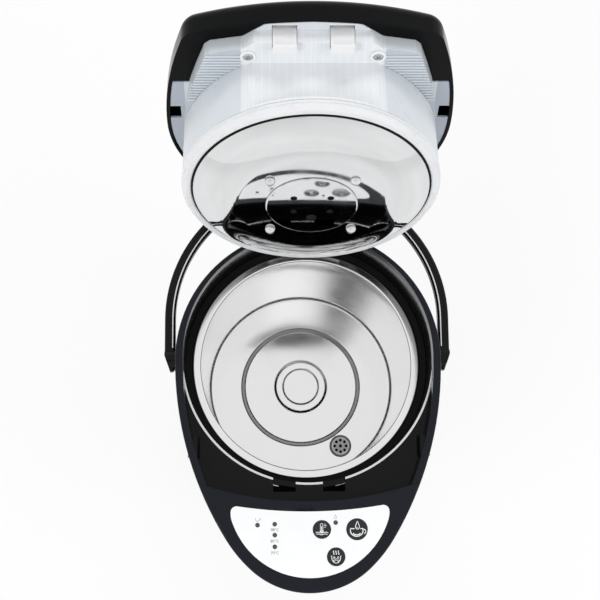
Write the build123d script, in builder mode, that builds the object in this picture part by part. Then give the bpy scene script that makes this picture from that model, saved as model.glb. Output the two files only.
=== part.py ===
"""Electric thermo pot with a hinged lid, a bail handle and a swivel base.

Millimetres. The floor is z = 0 under the pot's axis, +Z is up and -Y is the spout side.
Lid pieces are drawn closed and turned open about the hinge before they are written out.
"""

import os
from math import cos, radians, sin

from build123d import *

os.makedirs("parts", exist_ok=True)

# Fits
gap = 0.3  # between faces of two pieces that meet
run_fit = 0.08  # radial, on pins that turn
slip_fit = 0.25  # radial, on pieces that are put together by hand

# Inner pot
rim_height = 245.0  # rim above the floor
pot_radius = 85.5  # inner wall
pot_depth = 175.0
pot_sheet = 0.8
rim_lip = 7.0
rim_radius = pot_radius + rim_lip
pot_floor = rim_height - pot_depth
outlet_x = pot_radius - 48.5
outlet_y = 29.0 - pot_radius

# Body
sleeve_radius = rim_radius + 5.0
sleeve_sheet = 0.8
base_radius = sleeve_radius + 3.5
base_bottom = 10.6
base_top = 42.0
collar_height = 65.7
collar_bottom = rim_height - 6.7
collar_top = collar_bottom + collar_height
collar_half_width = sleeve_radius + 4.9
collar_wall = 2.6
well_top_radius = rim_radius + 4.1
well_bottom_radius = rim_radius + 5.7
well_floor = rim_height - 4.6
recess_depth = 12.5
recess_floor = collar_top - recess_depth
recess_inset = 5.9
side_face = collar_top - 0.8
land_edge_radius = 259.0
land_edge_y = -(well_top_radius + 14.7)  # front edge of the recess on the centre line
widest_y = -3.0
cheek_x = collar_half_width - 39.2  # where the side's arc meets the cheek's
cheek_y = land_edge_y - 28.2
beak_x = 44.6  # where the cheek's arc meets the beak's
beak_y = land_edge_y - 50.45
jacket_radius = rim_radius - 0.5
column_y = -(sleeve_radius + 20.0)
column_half_width = 23.0
tube_y = -(sleeve_radius + 10.0)
tube_bottom = pot_floor + 14.0
nozzle_y = tube_y - 32.5

# Lid, drawn closed
hinge_y = well_top_radius + 10.6
hinge_z = rim_height + 44.6
lid_open = 110.3
lid_height = 22.4
lid_edge = collar_top - 0.4
lid_top = lid_edge + lid_height
lid_wall = 2.6
lid_rounding = 11.0
drum_radius = rim_radius - 2.0
drum_wall = 1.6
drum_flat_y = -(drum_radius - 10.9)
drum_bottom = rim_height + 8.7
tray_floor = collar_top - 11.0
tray_sheet = 1.6
flange_bottom = collar_top - 0.1
ring_radius = drum_radius + 0.5
plate_radius = pot_radius - 2.5
plate_dome = 10.4
plate_edge = rim_height - 1.4
plate_flat = plate_edge - plate_dome
plunger_radius = 34.2
plunger_height = 27.8
plunger_foot = lid_top - plunger_height
screw_x = 43.2
screw_y = land_edge_y + 24.8
claw_x = 19.0
claw_width = 15.8
claw_y = land_edge_y + 13.2
lever_y = land_edge_y + 29.3
lever_z = lid_top - 8.0
lever_press = 13.3
studs = [(29.0, 29.6), (-29.0, 29.6), (29.0, -29.6), (-29.0, -29.6)]
steam_y = drum_radius - 24.5
screws = [(screw_x, screw_y), (-screw_x, screw_y)]
reach = 4 * collar_half_width  # more than the object's width: for sketches cut off at a straight line

# Handle
pivot_z = rim_height + 34.0
pivot_radius = 5.0
handle_room = 1.2  # from the collar's side to the handle
handle_bar = 8.4
handle_radius = collar_half_width + handle_room + handle_bar
handle_bend_y = 32.0
handle_height = 9.0
eye_radius = 7.6
arm_end_y = -10.0
eye_cover = 4.0  # left outside of a pivot's end, so that the arm's outer side stays whole
arm_taper = (3.0, 0.34)  # where the arm's outer side starts to lean in, and how steeply

# Panel: (x, y, radius) of the three buttons and (x, y) of the indicator lights
buttons = {
    "button_temperature": (8.7, land_edge_y - 20.9, 6.7),
    "button_dispense": (35.1, land_edge_y - 21.0, 7.9),
    "button_steam": (19.1, land_edge_y - 41.1, 6.7),
}
lights = [
    (-39.6, land_edge_y - 17.2),
    (-26.7, land_edge_y - 16.6),
    (-26.7, land_edge_y - 24.7),
    (-26.7, land_edge_y - 33.3),
    (19.1, land_edge_y - 15.9),
]
light_radius = 1.5

# ---------------------------------------------------------------- shared outlines

# Plan of the collar: half a circle at the back and a long nose at the front
with BuildSketch() as outline:
    with BuildLine():
        ThreePointArc(
            (collar_half_width, widest_y),
            (0, widest_y + collar_half_width),
            (-collar_half_width, widest_y),
        )
        left_side = TangentArc((-collar_half_width, widest_y), (-cheek_x, cheek_y), tangent=(0, -1))
        left_cheek = TangentArc((-cheek_x, cheek_y), (-beak_x, beak_y), tangent=left_side % 1)
        beak = TangentArc((-beak_x, beak_y), (beak_x, beak_y), tangent=left_cheek % 1)
        right_cheek = TangentArc((beak_x, beak_y), (cheek_x, cheek_y), tangent=beak % 1)
        TangentArc((cheek_x, cheek_y), (collar_half_width, widest_y), tangent=right_cheek % 1)
    make_face()

# Plan of the lid: the same plan, ended by the front edge of the recess
with BuildSketch() as lid_outline:
    add(outline.sketch)
    offset(amount=0.4)
    with Locations((0, land_edge_y + land_edge_radius)):
        Circle(land_edge_radius - 1.0, mode=Mode.INTERSECT)
    fillet(lid_outline.vertices().sort_by(Axis.Y)[:2], radius=14)
with BuildSketch() as lid_inside:
    add(outline.sketch)
    offset(amount=0.4 - lid_wall)
    with Locations((0, land_edge_y + land_edge_radius)):
        Circle(land_edge_radius - 1.0 - lid_wall, mode=Mode.INTERSECT)
    fillet(lid_inside.vertices().sort_by(Axis.Y)[:2], radius=14 - lid_wall)

# Plan of the lid's tray at its flange, and of the tray's box below it
side_steps = [(22, -9.8), (18.2, -6.4), (16, 0), (11.5, 13.2), (6.5, 29.6), (2.9, 49.6), (0.3, 73.6)]
tray_side = [(drum_radius - inward, drum_flat_y + back) for inward, back in side_steps]
front_steps = [(0, 4.1), (29.6, 5.9), (32.5, 6.9), (45.5, 17.0), (47, 17.9)]
with BuildSketch() as flange_outline:
    with BuildLine():
        right = [(x, land_edge_y + back) for x, back in front_steps] + tray_side
        Polyline(*right, (0, 30), *[(-x, y) for x, y in reversed(right)])
    make_face()
    Circle(drum_radius)
with BuildSketch() as tray_outline:
    with BuildLine():
        right = [(x, land_edge_y + back) for x, back in [(0, 11.7), (39, 11.7), (46, 17.7)]] + tray_side
        Polyline(*right, (0, 30), *[(-x, y) for x, y in reversed(right)])
    make_face()
    Circle(drum_radius)

# The same two with room around them, for the lid's shell
with BuildSketch() as tray_clearance:
    add(flange_outline.sketch)
    add(tray_outline.sketch)
    offset(amount=gap)

# Plan of the panel's label
with BuildSketch() as label_outline:
    with BuildLine():
        top_y, side_y, bend_y = land_edge_y - 2.3, land_edge_y - 8.3, land_edge_y - 13.9
        ThreePointArc((-59.8, top_y), (0, land_edge_y - 7.5), (59.8, top_y))
        Line((59.8, top_y), (59.8, side_y))
        label_right = TangentArc((59.8, side_y), (58.9, bend_y), tangent=(0, -1))
        label_nose = TangentArc((58.9, bend_y), (-58.9, bend_y), tangent=label_right % 1)
        TangentArc((-58.9, bend_y), (-59.8, side_y), tangent=label_nose % 1)
        Line((-59.8, side_y), (-59.8, top_y))
    make_face()
    fillet(label_outline.vertices().sort_by(Axis.Y)[-2:], radius=4.5)

# ---------------------------------------------------------------- swivel base

with BuildPart() as rubber_pad:
    with BuildSketch():
        Circle(base_radius - 15)
    extrude(amount=2.0)
    chamfer(rubber_pad.edges().group_by(Axis.Z)[-1], length=0.5)

with BuildPart() as turntable:
    with BuildSketch(Plane.XY.offset(2.0 + gap)):
        Circle(base_radius - 11)
    extrude(amount=4.7)
    with BuildSketch(Plane.XY.offset(7.0)):
        Circle(base_radius - 17)
        Circle(base_radius - 23, mode=Mode.SUBTRACT)
    extrude(amount=base_bottom - gap - 7.0)
    with BuildSketch(Plane.XY.offset(7.0)):
        Circle(19.7)
    extrude(amount=6.0)
    with BuildSketch(Plane.XY.offset(13.0)):
        Circle(12)
    extrude(amount=-8.0, mode=Mode.SUBTRACT)

with BuildPart() as table_retainer:
    with BuildSketch(Plane.XY.offset(13.0 + gap)):
        Circle(27)
    extrude(amount=2.0)
    with BuildSketch(Plane.XY.offset(13.0 + gap)):
        Circle(12 - slip_fit)
    extrude(amount=-7.0)
    with BuildSketch(Plane.XY.offset(13.0 + gap + 2.0)):
        Circle(8)
    extrude(amount=-7.0, mode=Mode.SUBTRACT)

# ---------------------------------------------------------------- base housing

rod_radius = 1.8
rod_ring = sleeve_radius - 3.2
socket_z = 27.0
board_x, board_y = -57.0, 0.0
with BuildPart() as base_housing:
    with BuildSketch(Plane.XZ):
        with BuildLine():
            Polyline(
                (19.7 + run_fit, base_bottom),
                (base_radius - 3, base_bottom),
                (base_radius, base_bottom + 4),
                (base_radius, base_top - 7),
                (base_radius - 2.4, base_top),
                (sleeve_radius - sleeve_sheet - gap, base_top),
                (sleeve_radius - sleeve_sheet - gap, base_top + 6),
                (sleeve_radius - 3.5, base_top + 6),
                (sleeve_radius - 3.5, base_top),
                (base_radius - 3, base_top - 6),
                (base_radius - 3, base_bottom + 5),
                (base_radius - 5, base_bottom + 2.4),
                (19.7 + run_fit, base_bottom + 2.4),
                close=True,
            )
        make_face()
    revolve(axis=Axis.Z)
    with BuildSketch(Plane.XY.offset(base_bottom)):
        with PolarLocations(rod_ring - 1.5, 4, start_angle=45):
            Circle(5)
    extrude(amount=base_top - base_bottom)
    with BuildSketch(Plane.XY.offset(base_bottom)):
        with PolarLocations(rod_ring, 4, start_angle=45):
            Circle(rod_radius + slip_fit)
    extrude(amount=base_top + 8 - base_bottom, mode=Mode.SUBTRACT)
    with BuildSketch(Plane.XY.offset(base_bottom + 1)):
        with Locations((board_x, board_y)):
            with GridLocations(42, 60, 2, 2):
                Circle(3.2)
    extrude(amount=28.2 - base_bottom - 1)
    with BuildSketch(Plane.XY.offset(base_bottom + 1)):
        with Locations((outlet_x, outlet_y)):
            Circle(17)
            Circle(14 + gap, mode=Mode.SUBTRACT)
    extrude(amount=12)
    with Locations((0, base_radius - 3, socket_z)):
        Box(28, 20, 18, mode=Mode.SUBTRACT)
    # passage for the discharge hose
    with BuildSketch(Plane.XY.offset(base_top - 6)):
        Circle(base_radius - 3.1)
        with Locations((outlet_x - 23, 9 - sleeve_radius)):
            Rectangle(52, 17, mode=Mode.INTERSECT)
    extrude(amount=13, mode=Mode.SUBTRACT)

with BuildPart() as tie_rods:
    with BuildSketch(Plane.XY.offset(base_bottom + 0.5)):
        with PolarLocations(rod_ring, 4, start_angle=45):
            Circle(rod_radius)
    extrude(amount=collar_bottom - 1.8 - base_bottom - 0.5)

with BuildPart() as inlet_socket:
    with Locations((0, base_radius - 10.2, socket_z)):
        Box(27.4, 21, 17.4)
    with Locations((0, base_radius + 1.4, socket_z)):
        Box(34, 2.2, 24)
    fillet(inlet_socket.edges().filter_by(Axis.Y).group_by(Axis.Y)[-1], radius=3)
    with BuildSketch(Plane.XZ.offset(-(base_radius + 2.5))):
        with Locations((0, socket_z)):
            RectangleRounded(22, 12, 3)
    extrude(amount=15, mode=Mode.SUBTRACT)
    with BuildSketch(Plane.XZ.offset(21 - base_radius)):
        with Locations((-6, socket_z), (0, socket_z + 2), (6, socket_z)):
            Circle(1.6)
    extrude(amount=-10, mode=Mode.SUBTRACT)

with BuildPart() as inlet_pins:
    with BuildSketch(Plane.XZ.offset(25 - base_radius)):
        with Locations((-6, socket_z), (0, socket_z + 2), (6, socket_z)):
            Circle(1.3)
    extrude(amount=-22)

with BuildPart() as power_board:
    with Locations((board_x, board_y, 29.3)):
        Box(52, 70, 1.6)
    with Locations((board_x - 4, board_y + 16, 39.1)):
        Box(22, 24, 18.1)
    with Locations((board_x - 8, board_y - 8, 35.1)):
        Box(12, 14, 10.1)
    with Locations((board_x + 10, board_y - 14, 34)):
        Box(6, 18, 8)
    with BuildSketch(Plane.XY.offset(30)):
        with Locations((board_x - 13, board_y - 24), (board_x, board_y - 24), (board_x + 14, board_y + 20)):
            Circle(4)
    extrude(amount=11)

# ---------------------------------------------------------------- water pump

motor_radius = 14.0
nipple_z = 42.6
with BuildPart() as pump_motor:
    with BuildSketch(Plane.XY.offset(base_bottom + 2.4 + gap)):
        with Locations((outlet_x, outlet_y)):
            Circle(motor_radius)
    extrude(amount=20)
    fillet(pump_motor.edges().filter_by(GeomType.CIRCLE), radius=1.5)

with BuildPart() as drive_magnet:
    with BuildSketch(Plane.XY.offset(35.2)):
        with Locations((outlet_x, outlet_y)):
            Circle(11)
    extrude(amount=3)
    with BuildSketch(Plane.XY.offset(35.2)):
        with Locations((outlet_x, outlet_y)):
            Circle(1.5)
    extrude(amount=-1.6)

with BuildPart() as pump_housing:
    with BuildSketch(Plane.XY.offset(33.8)):
        with Locations((outlet_x, outlet_y)):
            Circle(19)
    extrude(amount=13.2)
    with BuildSketch(Plane.XY.offset(33.8)):
        with Locations((outlet_x, outlet_y)):
            Circle(12)
    extrude(amount=4.9, mode=Mode.SUBTRACT)
    with BuildSketch(Plane.XY.offset(40.2)):
        with Locations((outlet_x, outlet_y)):
            Circle(16)
    extrude(amount=7, mode=Mode.SUBTRACT)
    with BuildSketch(Plane.XZ.offset(14 - outlet_y)):
        with Locations((outlet_x - 10, nipple_z)):
            Circle(4.2)
    extrude(amount=8.5)
    with BuildSketch(Plane.XZ.offset(9.5 - outlet_y)):
        with Locations((outlet_x - 10, nipple_z)):
            Circle(2.8)
    extrude(amount=14, mode=Mode.SUBTRACT)
    with BuildSketch(Plane.XY.offset(39.5)):
        with Locations((outlet_x, outlet_y)):
            Circle(1.2)
    extrude(amount=5.5)

with BuildPart() as impeller:
    with BuildSketch(Plane.XY.offset(40.6)):
        with Locations((outlet_x, outlet_y)):
            Circle(13.5)
    extrude(amount=1.2)
    with BuildSketch(Plane.XY.offset(41.5)):
        with Locations((outlet_x, outlet_y)):
            Circle(3)
            with PolarLocations(7.7, 6):
                Rectangle(10.6, 1.2)
    extrude(amount=4.6)
    with BuildSketch(Plane.XY.offset(40)):
        with Locations((outlet_x, outlet_y)):
            Circle(1.2 + run_fit)
    extrude(amount=8, mode=Mode.SUBTRACT)

with BuildPart() as pump_cover:
    with BuildSketch(Plane.XY.offset(47.3)):
        with Locations((outlet_x, outlet_y)):
            Circle(19)
    extrude(amount=2.7)
    with BuildSketch(Plane.XY.offset(50)):
        with Locations((outlet_x, outlet_y)):
            Circle(6)
    extrude(amount=7)
    with BuildSketch(Plane.XY.offset(47)):
        with Locations((outlet_x, outlet_y)):
            Circle(4.4)
    extrude(amount=12, mode=Mode.SUBTRACT)

with BuildPart() as inlet_hose:
    with BuildSketch(Plane.XY.offset(51)):
        with Locations((outlet_x, outlet_y)):
            Circle(8)
            Circle(6 + 0.1, mode=Mode.SUBTRACT)
    extrude(amount=pot_floor - 5 - 51)

with BuildPart() as outlet_fitting:
    with BuildSketch(Plane.XY.offset(pot_floor - 1.1 - 2.4)):
        with Locations((outlet_x, outlet_y)):
            Circle(9.6)
    extrude(amount=2.4)
    with BuildSketch(Plane.XY.offset(pot_floor - 11.5)):
        with Locations((outlet_x, outlet_y)):
            Circle(6)
    extrude(amount=8.5)
    with BuildSketch(Plane.XY.offset(pot_floor - 12)):
        with Locations((outlet_x, outlet_y)):
            Circle(4.4)
    extrude(amount=12, mode=Mode.SUBTRACT)

hose_start = (outlet_x - 10, outlet_y - 19.1, nipple_z)
hose_rise = tube_bottom - nipple_z
with BuildPart() as discharge_hose:
    with BuildLine() as hose_line:
        Line(hose_start, (outlet_x - 10, outlet_y - 22.8, nipple_z))
        Spline(
            (outlet_x - 10, outlet_y - 22.8, nipple_z),
            (outlet_x - 23, 8.5 - sleeve_radius, nipple_z + 0.275 * hose_rise),
            (1.5, tube_y + 8.5, nipple_z + 0.66 * hose_rise),
            (0, tube_y, tube_bottom),
            tangents=((0, -1, 0), (0, 0, 1)),
        )
        Line((0, tube_y, tube_bottom), (0, tube_y, tube_bottom + 8))
    with BuildSketch(Plane(origin=hose_start, z_dir=(0, -1, 0))):
        Circle(5.3)
    sweep(path=hose_line.wires()[0])
    with BuildSketch(Plane(origin=hose_start, z_dir=(0, -1, 0))):
        Circle(4.3)
    sweep(path=hose_line.wires()[0], mode=Mode.SUBTRACT)

# ---------------------------------------------------------------- pot, heater and jacket

with BuildPart() as inner_pot:
    with BuildSketch(Plane.XZ):
        with BuildLine():
            Polyline(
                (0, pot_floor + 0.9),
                (15.8, pot_floor + 0.9),
                (17.6, pot_floor + 2.2),
                (22.8, pot_floor + 2.2),
                (25.2, pot_floor),
                (52.4, pot_floor),
                (53.6, pot_floor - 1),
                (55.2, pot_floor - 1),
                (56.4, pot_floor),
                (pot_radius - 3.4, pot_floor),
                (pot_radius - 1.0, pot_floor + 1.0),
                (pot_radius, pot_floor + 3.4),
                (pot_radius, rim_height - 0.9),
                (pot_radius + 0.9, rim_height),
                (rim_radius - 0.9, rim_height),
                (rim_radius, rim_height - 0.9),
                (rim_radius, rim_height - 4.2),
                (rim_radius - pot_sheet, rim_height - 4.2),
                (rim_radius - pot_sheet, rim_height - 1.6),
                (pot_radius + pot_sheet, rim_height - 1.6),
                (pot_radius + pot_sheet, pot_floor + 3.0),
                (pot_radius - 0.4, pot_floor + 0.4),
                (pot_radius - 3.0, pot_floor - pot_sheet),
                (56.8, pot_floor - pot_sheet),
                (55.6, pot_floor - 1 - pot_sheet),
                (53.2, pot_floor - 1 - pot_sheet),
                (52.0, pot_floor - pot_sheet),
                (24.8, pot_floor - pot_sheet),
                (22.4, pot_floor + 2.2 - pot_sheet),
                (18.0, pot_floor + 2.2 - pot_sheet),
                (16.2, pot_floor + 0.9 - pot_sheet),
                (0, pot_floor + 0.9 - pot_sheet),
                close=True,
            )
        make_face()
    revolve(axis=Axis.Z)
    with BuildSketch(Plane.XY.offset(pot_floor - 3)):
        with Locations((outlet_x, outlet_y)):
            Circle(6.6)
    extrude(amount=6, mode=Mode.SUBTRACT)

with BuildPart() as pot_strainer:
    with BuildSketch(Plane.XY.offset(pot_floor + gap)):
        with Locations((outlet_x, outlet_y)):
            Circle(10.3)
    extrude(amount=2.2)
    fillet(pot_strainer.edges().group_by(Axis.Z)[-1], radius=1.2)
    with BuildSketch(Plane.XY.offset(pot_floor + gap)):
        with Locations((outlet_x, outlet_y)):
            Circle(7.6)
    extrude(amount=1.2, mode=Mode.SUBTRACT)
    with BuildSketch(Plane.XY.offset(pot_floor)):
        with Locations((outlet_x, outlet_y)):
            Circle(1.5)
            with PolarLocations(5.4, 8):
                Circle(1.35)
    extrude(amount=4, mode=Mode.SUBTRACT)
    with BuildSketch(Plane.XY.offset(pot_floor + 0.6)):
        with Locations((outlet_x, outlet_y)):
            Circle(8.2)
            Circle(7.2, mode=Mode.SUBTRACT)
    extrude(amount=1)

with BuildPart() as heater_plate:
    with BuildSketch(Plane.XY.offset(pot_floor - 4)):
        Circle(50)
    extrude(amount=4 - pot_sheet - gap)
    with BuildSketch(Plane.XZ):
        with Locations((40, pot_floor - 6)):
            Circle(3.5)
    revolve(axis=Axis.Z, revolution_arc=320)
    with BuildSketch(Plane.XY.offset(pot_floor - 18)):
        with Locations((40, 0), (40 * cos(radians(320)), 40 * sin(radians(320)))):
            Circle(2.4)
    extrude(amount=12)

with BuildPart() as thermostat:
    with BuildSketch(Plane.XY.offset(pot_floor - 11.3)):
        Circle(8.5)
    extrude(amount=7)
    with BuildSketch(Plane.XY.offset(pot_floor - 18)):
        with Locations((-4, 0), (4, 0)):
            Rectangle(0.8, 6)
    extrude(amount=7)

with BuildPart() as temperature_probe:
    with BuildSketch(Plane.XY.offset(pot_floor - 13)):
        with Locations((-20, -20)):
            Circle(3)
    extrude(amount=8.7)
    with BuildSketch(Plane.XY.offset(pot_floor - 7)):
        with Locations((-20, -20)):
            Rectangle(16, 5)
    extrude(amount=1.0)

with BuildPart() as warming_band:
    with BuildSketch(Plane.XY.offset(pot_floor + 22)):
        Circle(pot_radius + pot_sheet + gap + 0.8)
        Circle(pot_radius + pot_sheet + gap, mode=Mode.SUBTRACT)
    extrude(amount=36)

with BuildPart() as insulation_jacket:
    with BuildSketch(Plane.XY.offset(pot_floor + 14)):
        Circle(jacket_radius)
        Circle(pot_radius + pot_sheet + 2 * gap + 0.8, mode=Mode.SUBTRACT)
    extrude(amount=pot_depth - 28)

with BuildPart() as outer_sleeve:
    with BuildSketch(Plane.XY.offset(base_top + gap)):
        Circle(sleeve_radius)
        Circle(sleeve_radius - sleeve_sheet, mode=Mode.SUBTRACT)
    extrude(amount=collar_bottom - gap - base_top - gap)
    with Locations((0, -sleeve_radius, (base_top + collar_bottom + 13.7) / 2)):
        Box(32, 20, collar_bottom - base_top - 6.3, mode=Mode.SUBTRACT)

# ---------------------------------------------------------------- level column and outlet

column_bottom = base_top + 4.0
column_top = collar_bottom - gap
window_bottom = pot_floor + 20.0
window_height = pot_depth - 43.0
window_middle = window_bottom + window_height / 2
with BuildPart() as front_column:
    with BuildSketch(Plane.XY.offset(column_bottom)):
        with Locations((0, (column_y + 9.5 - sleeve_radius) / 2)):
            Rectangle(2 * column_half_width, 9.5 - sleeve_radius - column_y)
        Circle(sleeve_radius + gap, mode=Mode.SUBTRACT)
    extrude(amount=column_top - column_bottom)
    fillet(front_column.edges().filter_by(Axis.Z).group_by(Axis.Y)[0], radius=8)
    with Locations((0, column_y + 16.5, (column_bottom + column_top) / 2)):
        Box(36, 27.4, column_top - column_bottom - 5, mode=Mode.SUBTRACT)
    with Locations((0, tube_y, column_top)):
        Cylinder(6.5, 12, mode=Mode.SUBTRACT)
    with BuildSketch(Plane.XZ.offset(-column_y - 5)):
        with Locations((0, window_middle)):
            RectangleRounded(12, window_height, 4)
    extrude(amount=8, mode=Mode.SUBTRACT)

with BuildPart() as level_window:
    with BuildSketch(Plane.XZ.offset(-column_y - 4.3)):
        with Locations((0, window_middle)):
            RectangleRounded(17, window_height + 6, 4)
    extrude(amount=1.2)
    with BuildSketch(Plane.XZ.offset(-column_y - 4.3)):
        with Locations((0, window_middle)):
            RectangleRounded(11.4, window_height - 0.6, 3.7)
    extrude(amount=4.2)

valve_z = collar_bottom - 3.9
with BuildPart() as sight_tube:
    with BuildSketch(Plane.XY.offset(tube_bottom)):
        with Locations((0, tube_y)):
            Circle(4.2)
            Circle(3.2, mode=Mode.SUBTRACT)
    extrude(amount=valve_z - 0.4 - tube_bottom)

valve_radius = 5.6
ball_travel = 4.0
with BuildPart() as tip_valve:
    with BuildSketch(Plane.XY.offset(valve_z)):
        with Locations((0, tube_y)):
            Circle(valve_radius)
    extrude(amount=17.6)
    with BuildSketch(Plane.XY.offset(valve_z - 6.4)):
        with Locations((0, tube_y)):
            Circle(3.1)
    extrude(amount=7)
    with BuildSketch(Plane.XY.offset(valve_z + 16.6)):
        with Locations((0, tube_y)):
            Circle(4.2)
    extrude(amount=7)
    with BuildSketch(Plane.XY.offset(valve_z - 7.4)):
        with Locations((0, tube_y)):
            Circle(2.1)
    extrude(amount=32, mode=Mode.SUBTRACT)
    with BuildSketch(Plane.XY.offset(valve_z + 3.2)):
        with Locations((0, tube_y)):
            Circle(4.6)
    extrude(amount=8 + ball_travel + 0.6, mode=Mode.SUBTRACT)

with BuildPart() as tip_ball:
    with Locations((0, tube_y, valve_z + 7.5)):
        Sphere(4)

elbow_start = valve_z + 17.9
elbow_spring = collar_bottom + 22.7  # where the bends start
bend = 12.0
bend_middle = bend * cos(radians(45))
with BuildPart() as outlet_elbow:
    with BuildLine(Plane.YZ) as elbow_path:
        Line((tube_y, elbow_start), (tube_y, elbow_spring))
        ThreePointArc(
            (tube_y, elbow_spring),
            (tube_y - bend + bend_middle, elbow_spring + bend_middle),
            (tube_y - bend, elbow_spring + bend),
        )
        Line((tube_y - bend, elbow_spring + bend), (nozzle_y + bend, elbow_spring + bend))
        ThreePointArc(
            (nozzle_y + bend, elbow_spring + bend),
            (nozzle_y + bend - bend_middle, elbow_spring + bend_middle),
            (nozzle_y, elbow_spring),
        )
        Line((nozzle_y, elbow_spring), (nozzle_y, collar_bottom - 0.3))
    with BuildSketch(Plane.XY.offset(elbow_start)):
        with Locations((0, tube_y)):
            Circle(6)
    sweep(path=elbow_path.wires()[0])
    with BuildSketch(Plane.XY.offset(elbow_start)):
        with Locations((0, tube_y)):
            Circle(4.3)
    sweep(path=elbow_path.wires()[0], mode=Mode.SUBTRACT)

with BuildPart() as spout_nozzle:
    with BuildSketch(Plane.XY.offset(collar_bottom - 16.3)):
        with Locations((0, nozzle_y)):
            Circle(8)
    extrude(amount=24)
    with BuildSketch(Plane.XY.offset(collar_bottom + 2.5 + gap)):
        with Locations((0, nozzle_y)):
            Circle(12)
    extrude(amount=2)
    with BuildSketch(Plane.XY.offset(collar_bottom - 17.3)):
        with Locations((0, nozzle_y)):
            Circle(5)
    extrude(amount=26, mode=Mode.SUBTRACT)
    with BuildSketch(Plane.XY.offset(collar_bottom - 0.6)):
        with Locations((0, nozzle_y)):
            Circle(6.1)
    extrude(amount=10, mode=Mode.SUBTRACT)
    chamfer(spout_nozzle.edges().group_by(Axis.Z)[0], length=1)

# ---------------------------------------------------------------- collar

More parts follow.
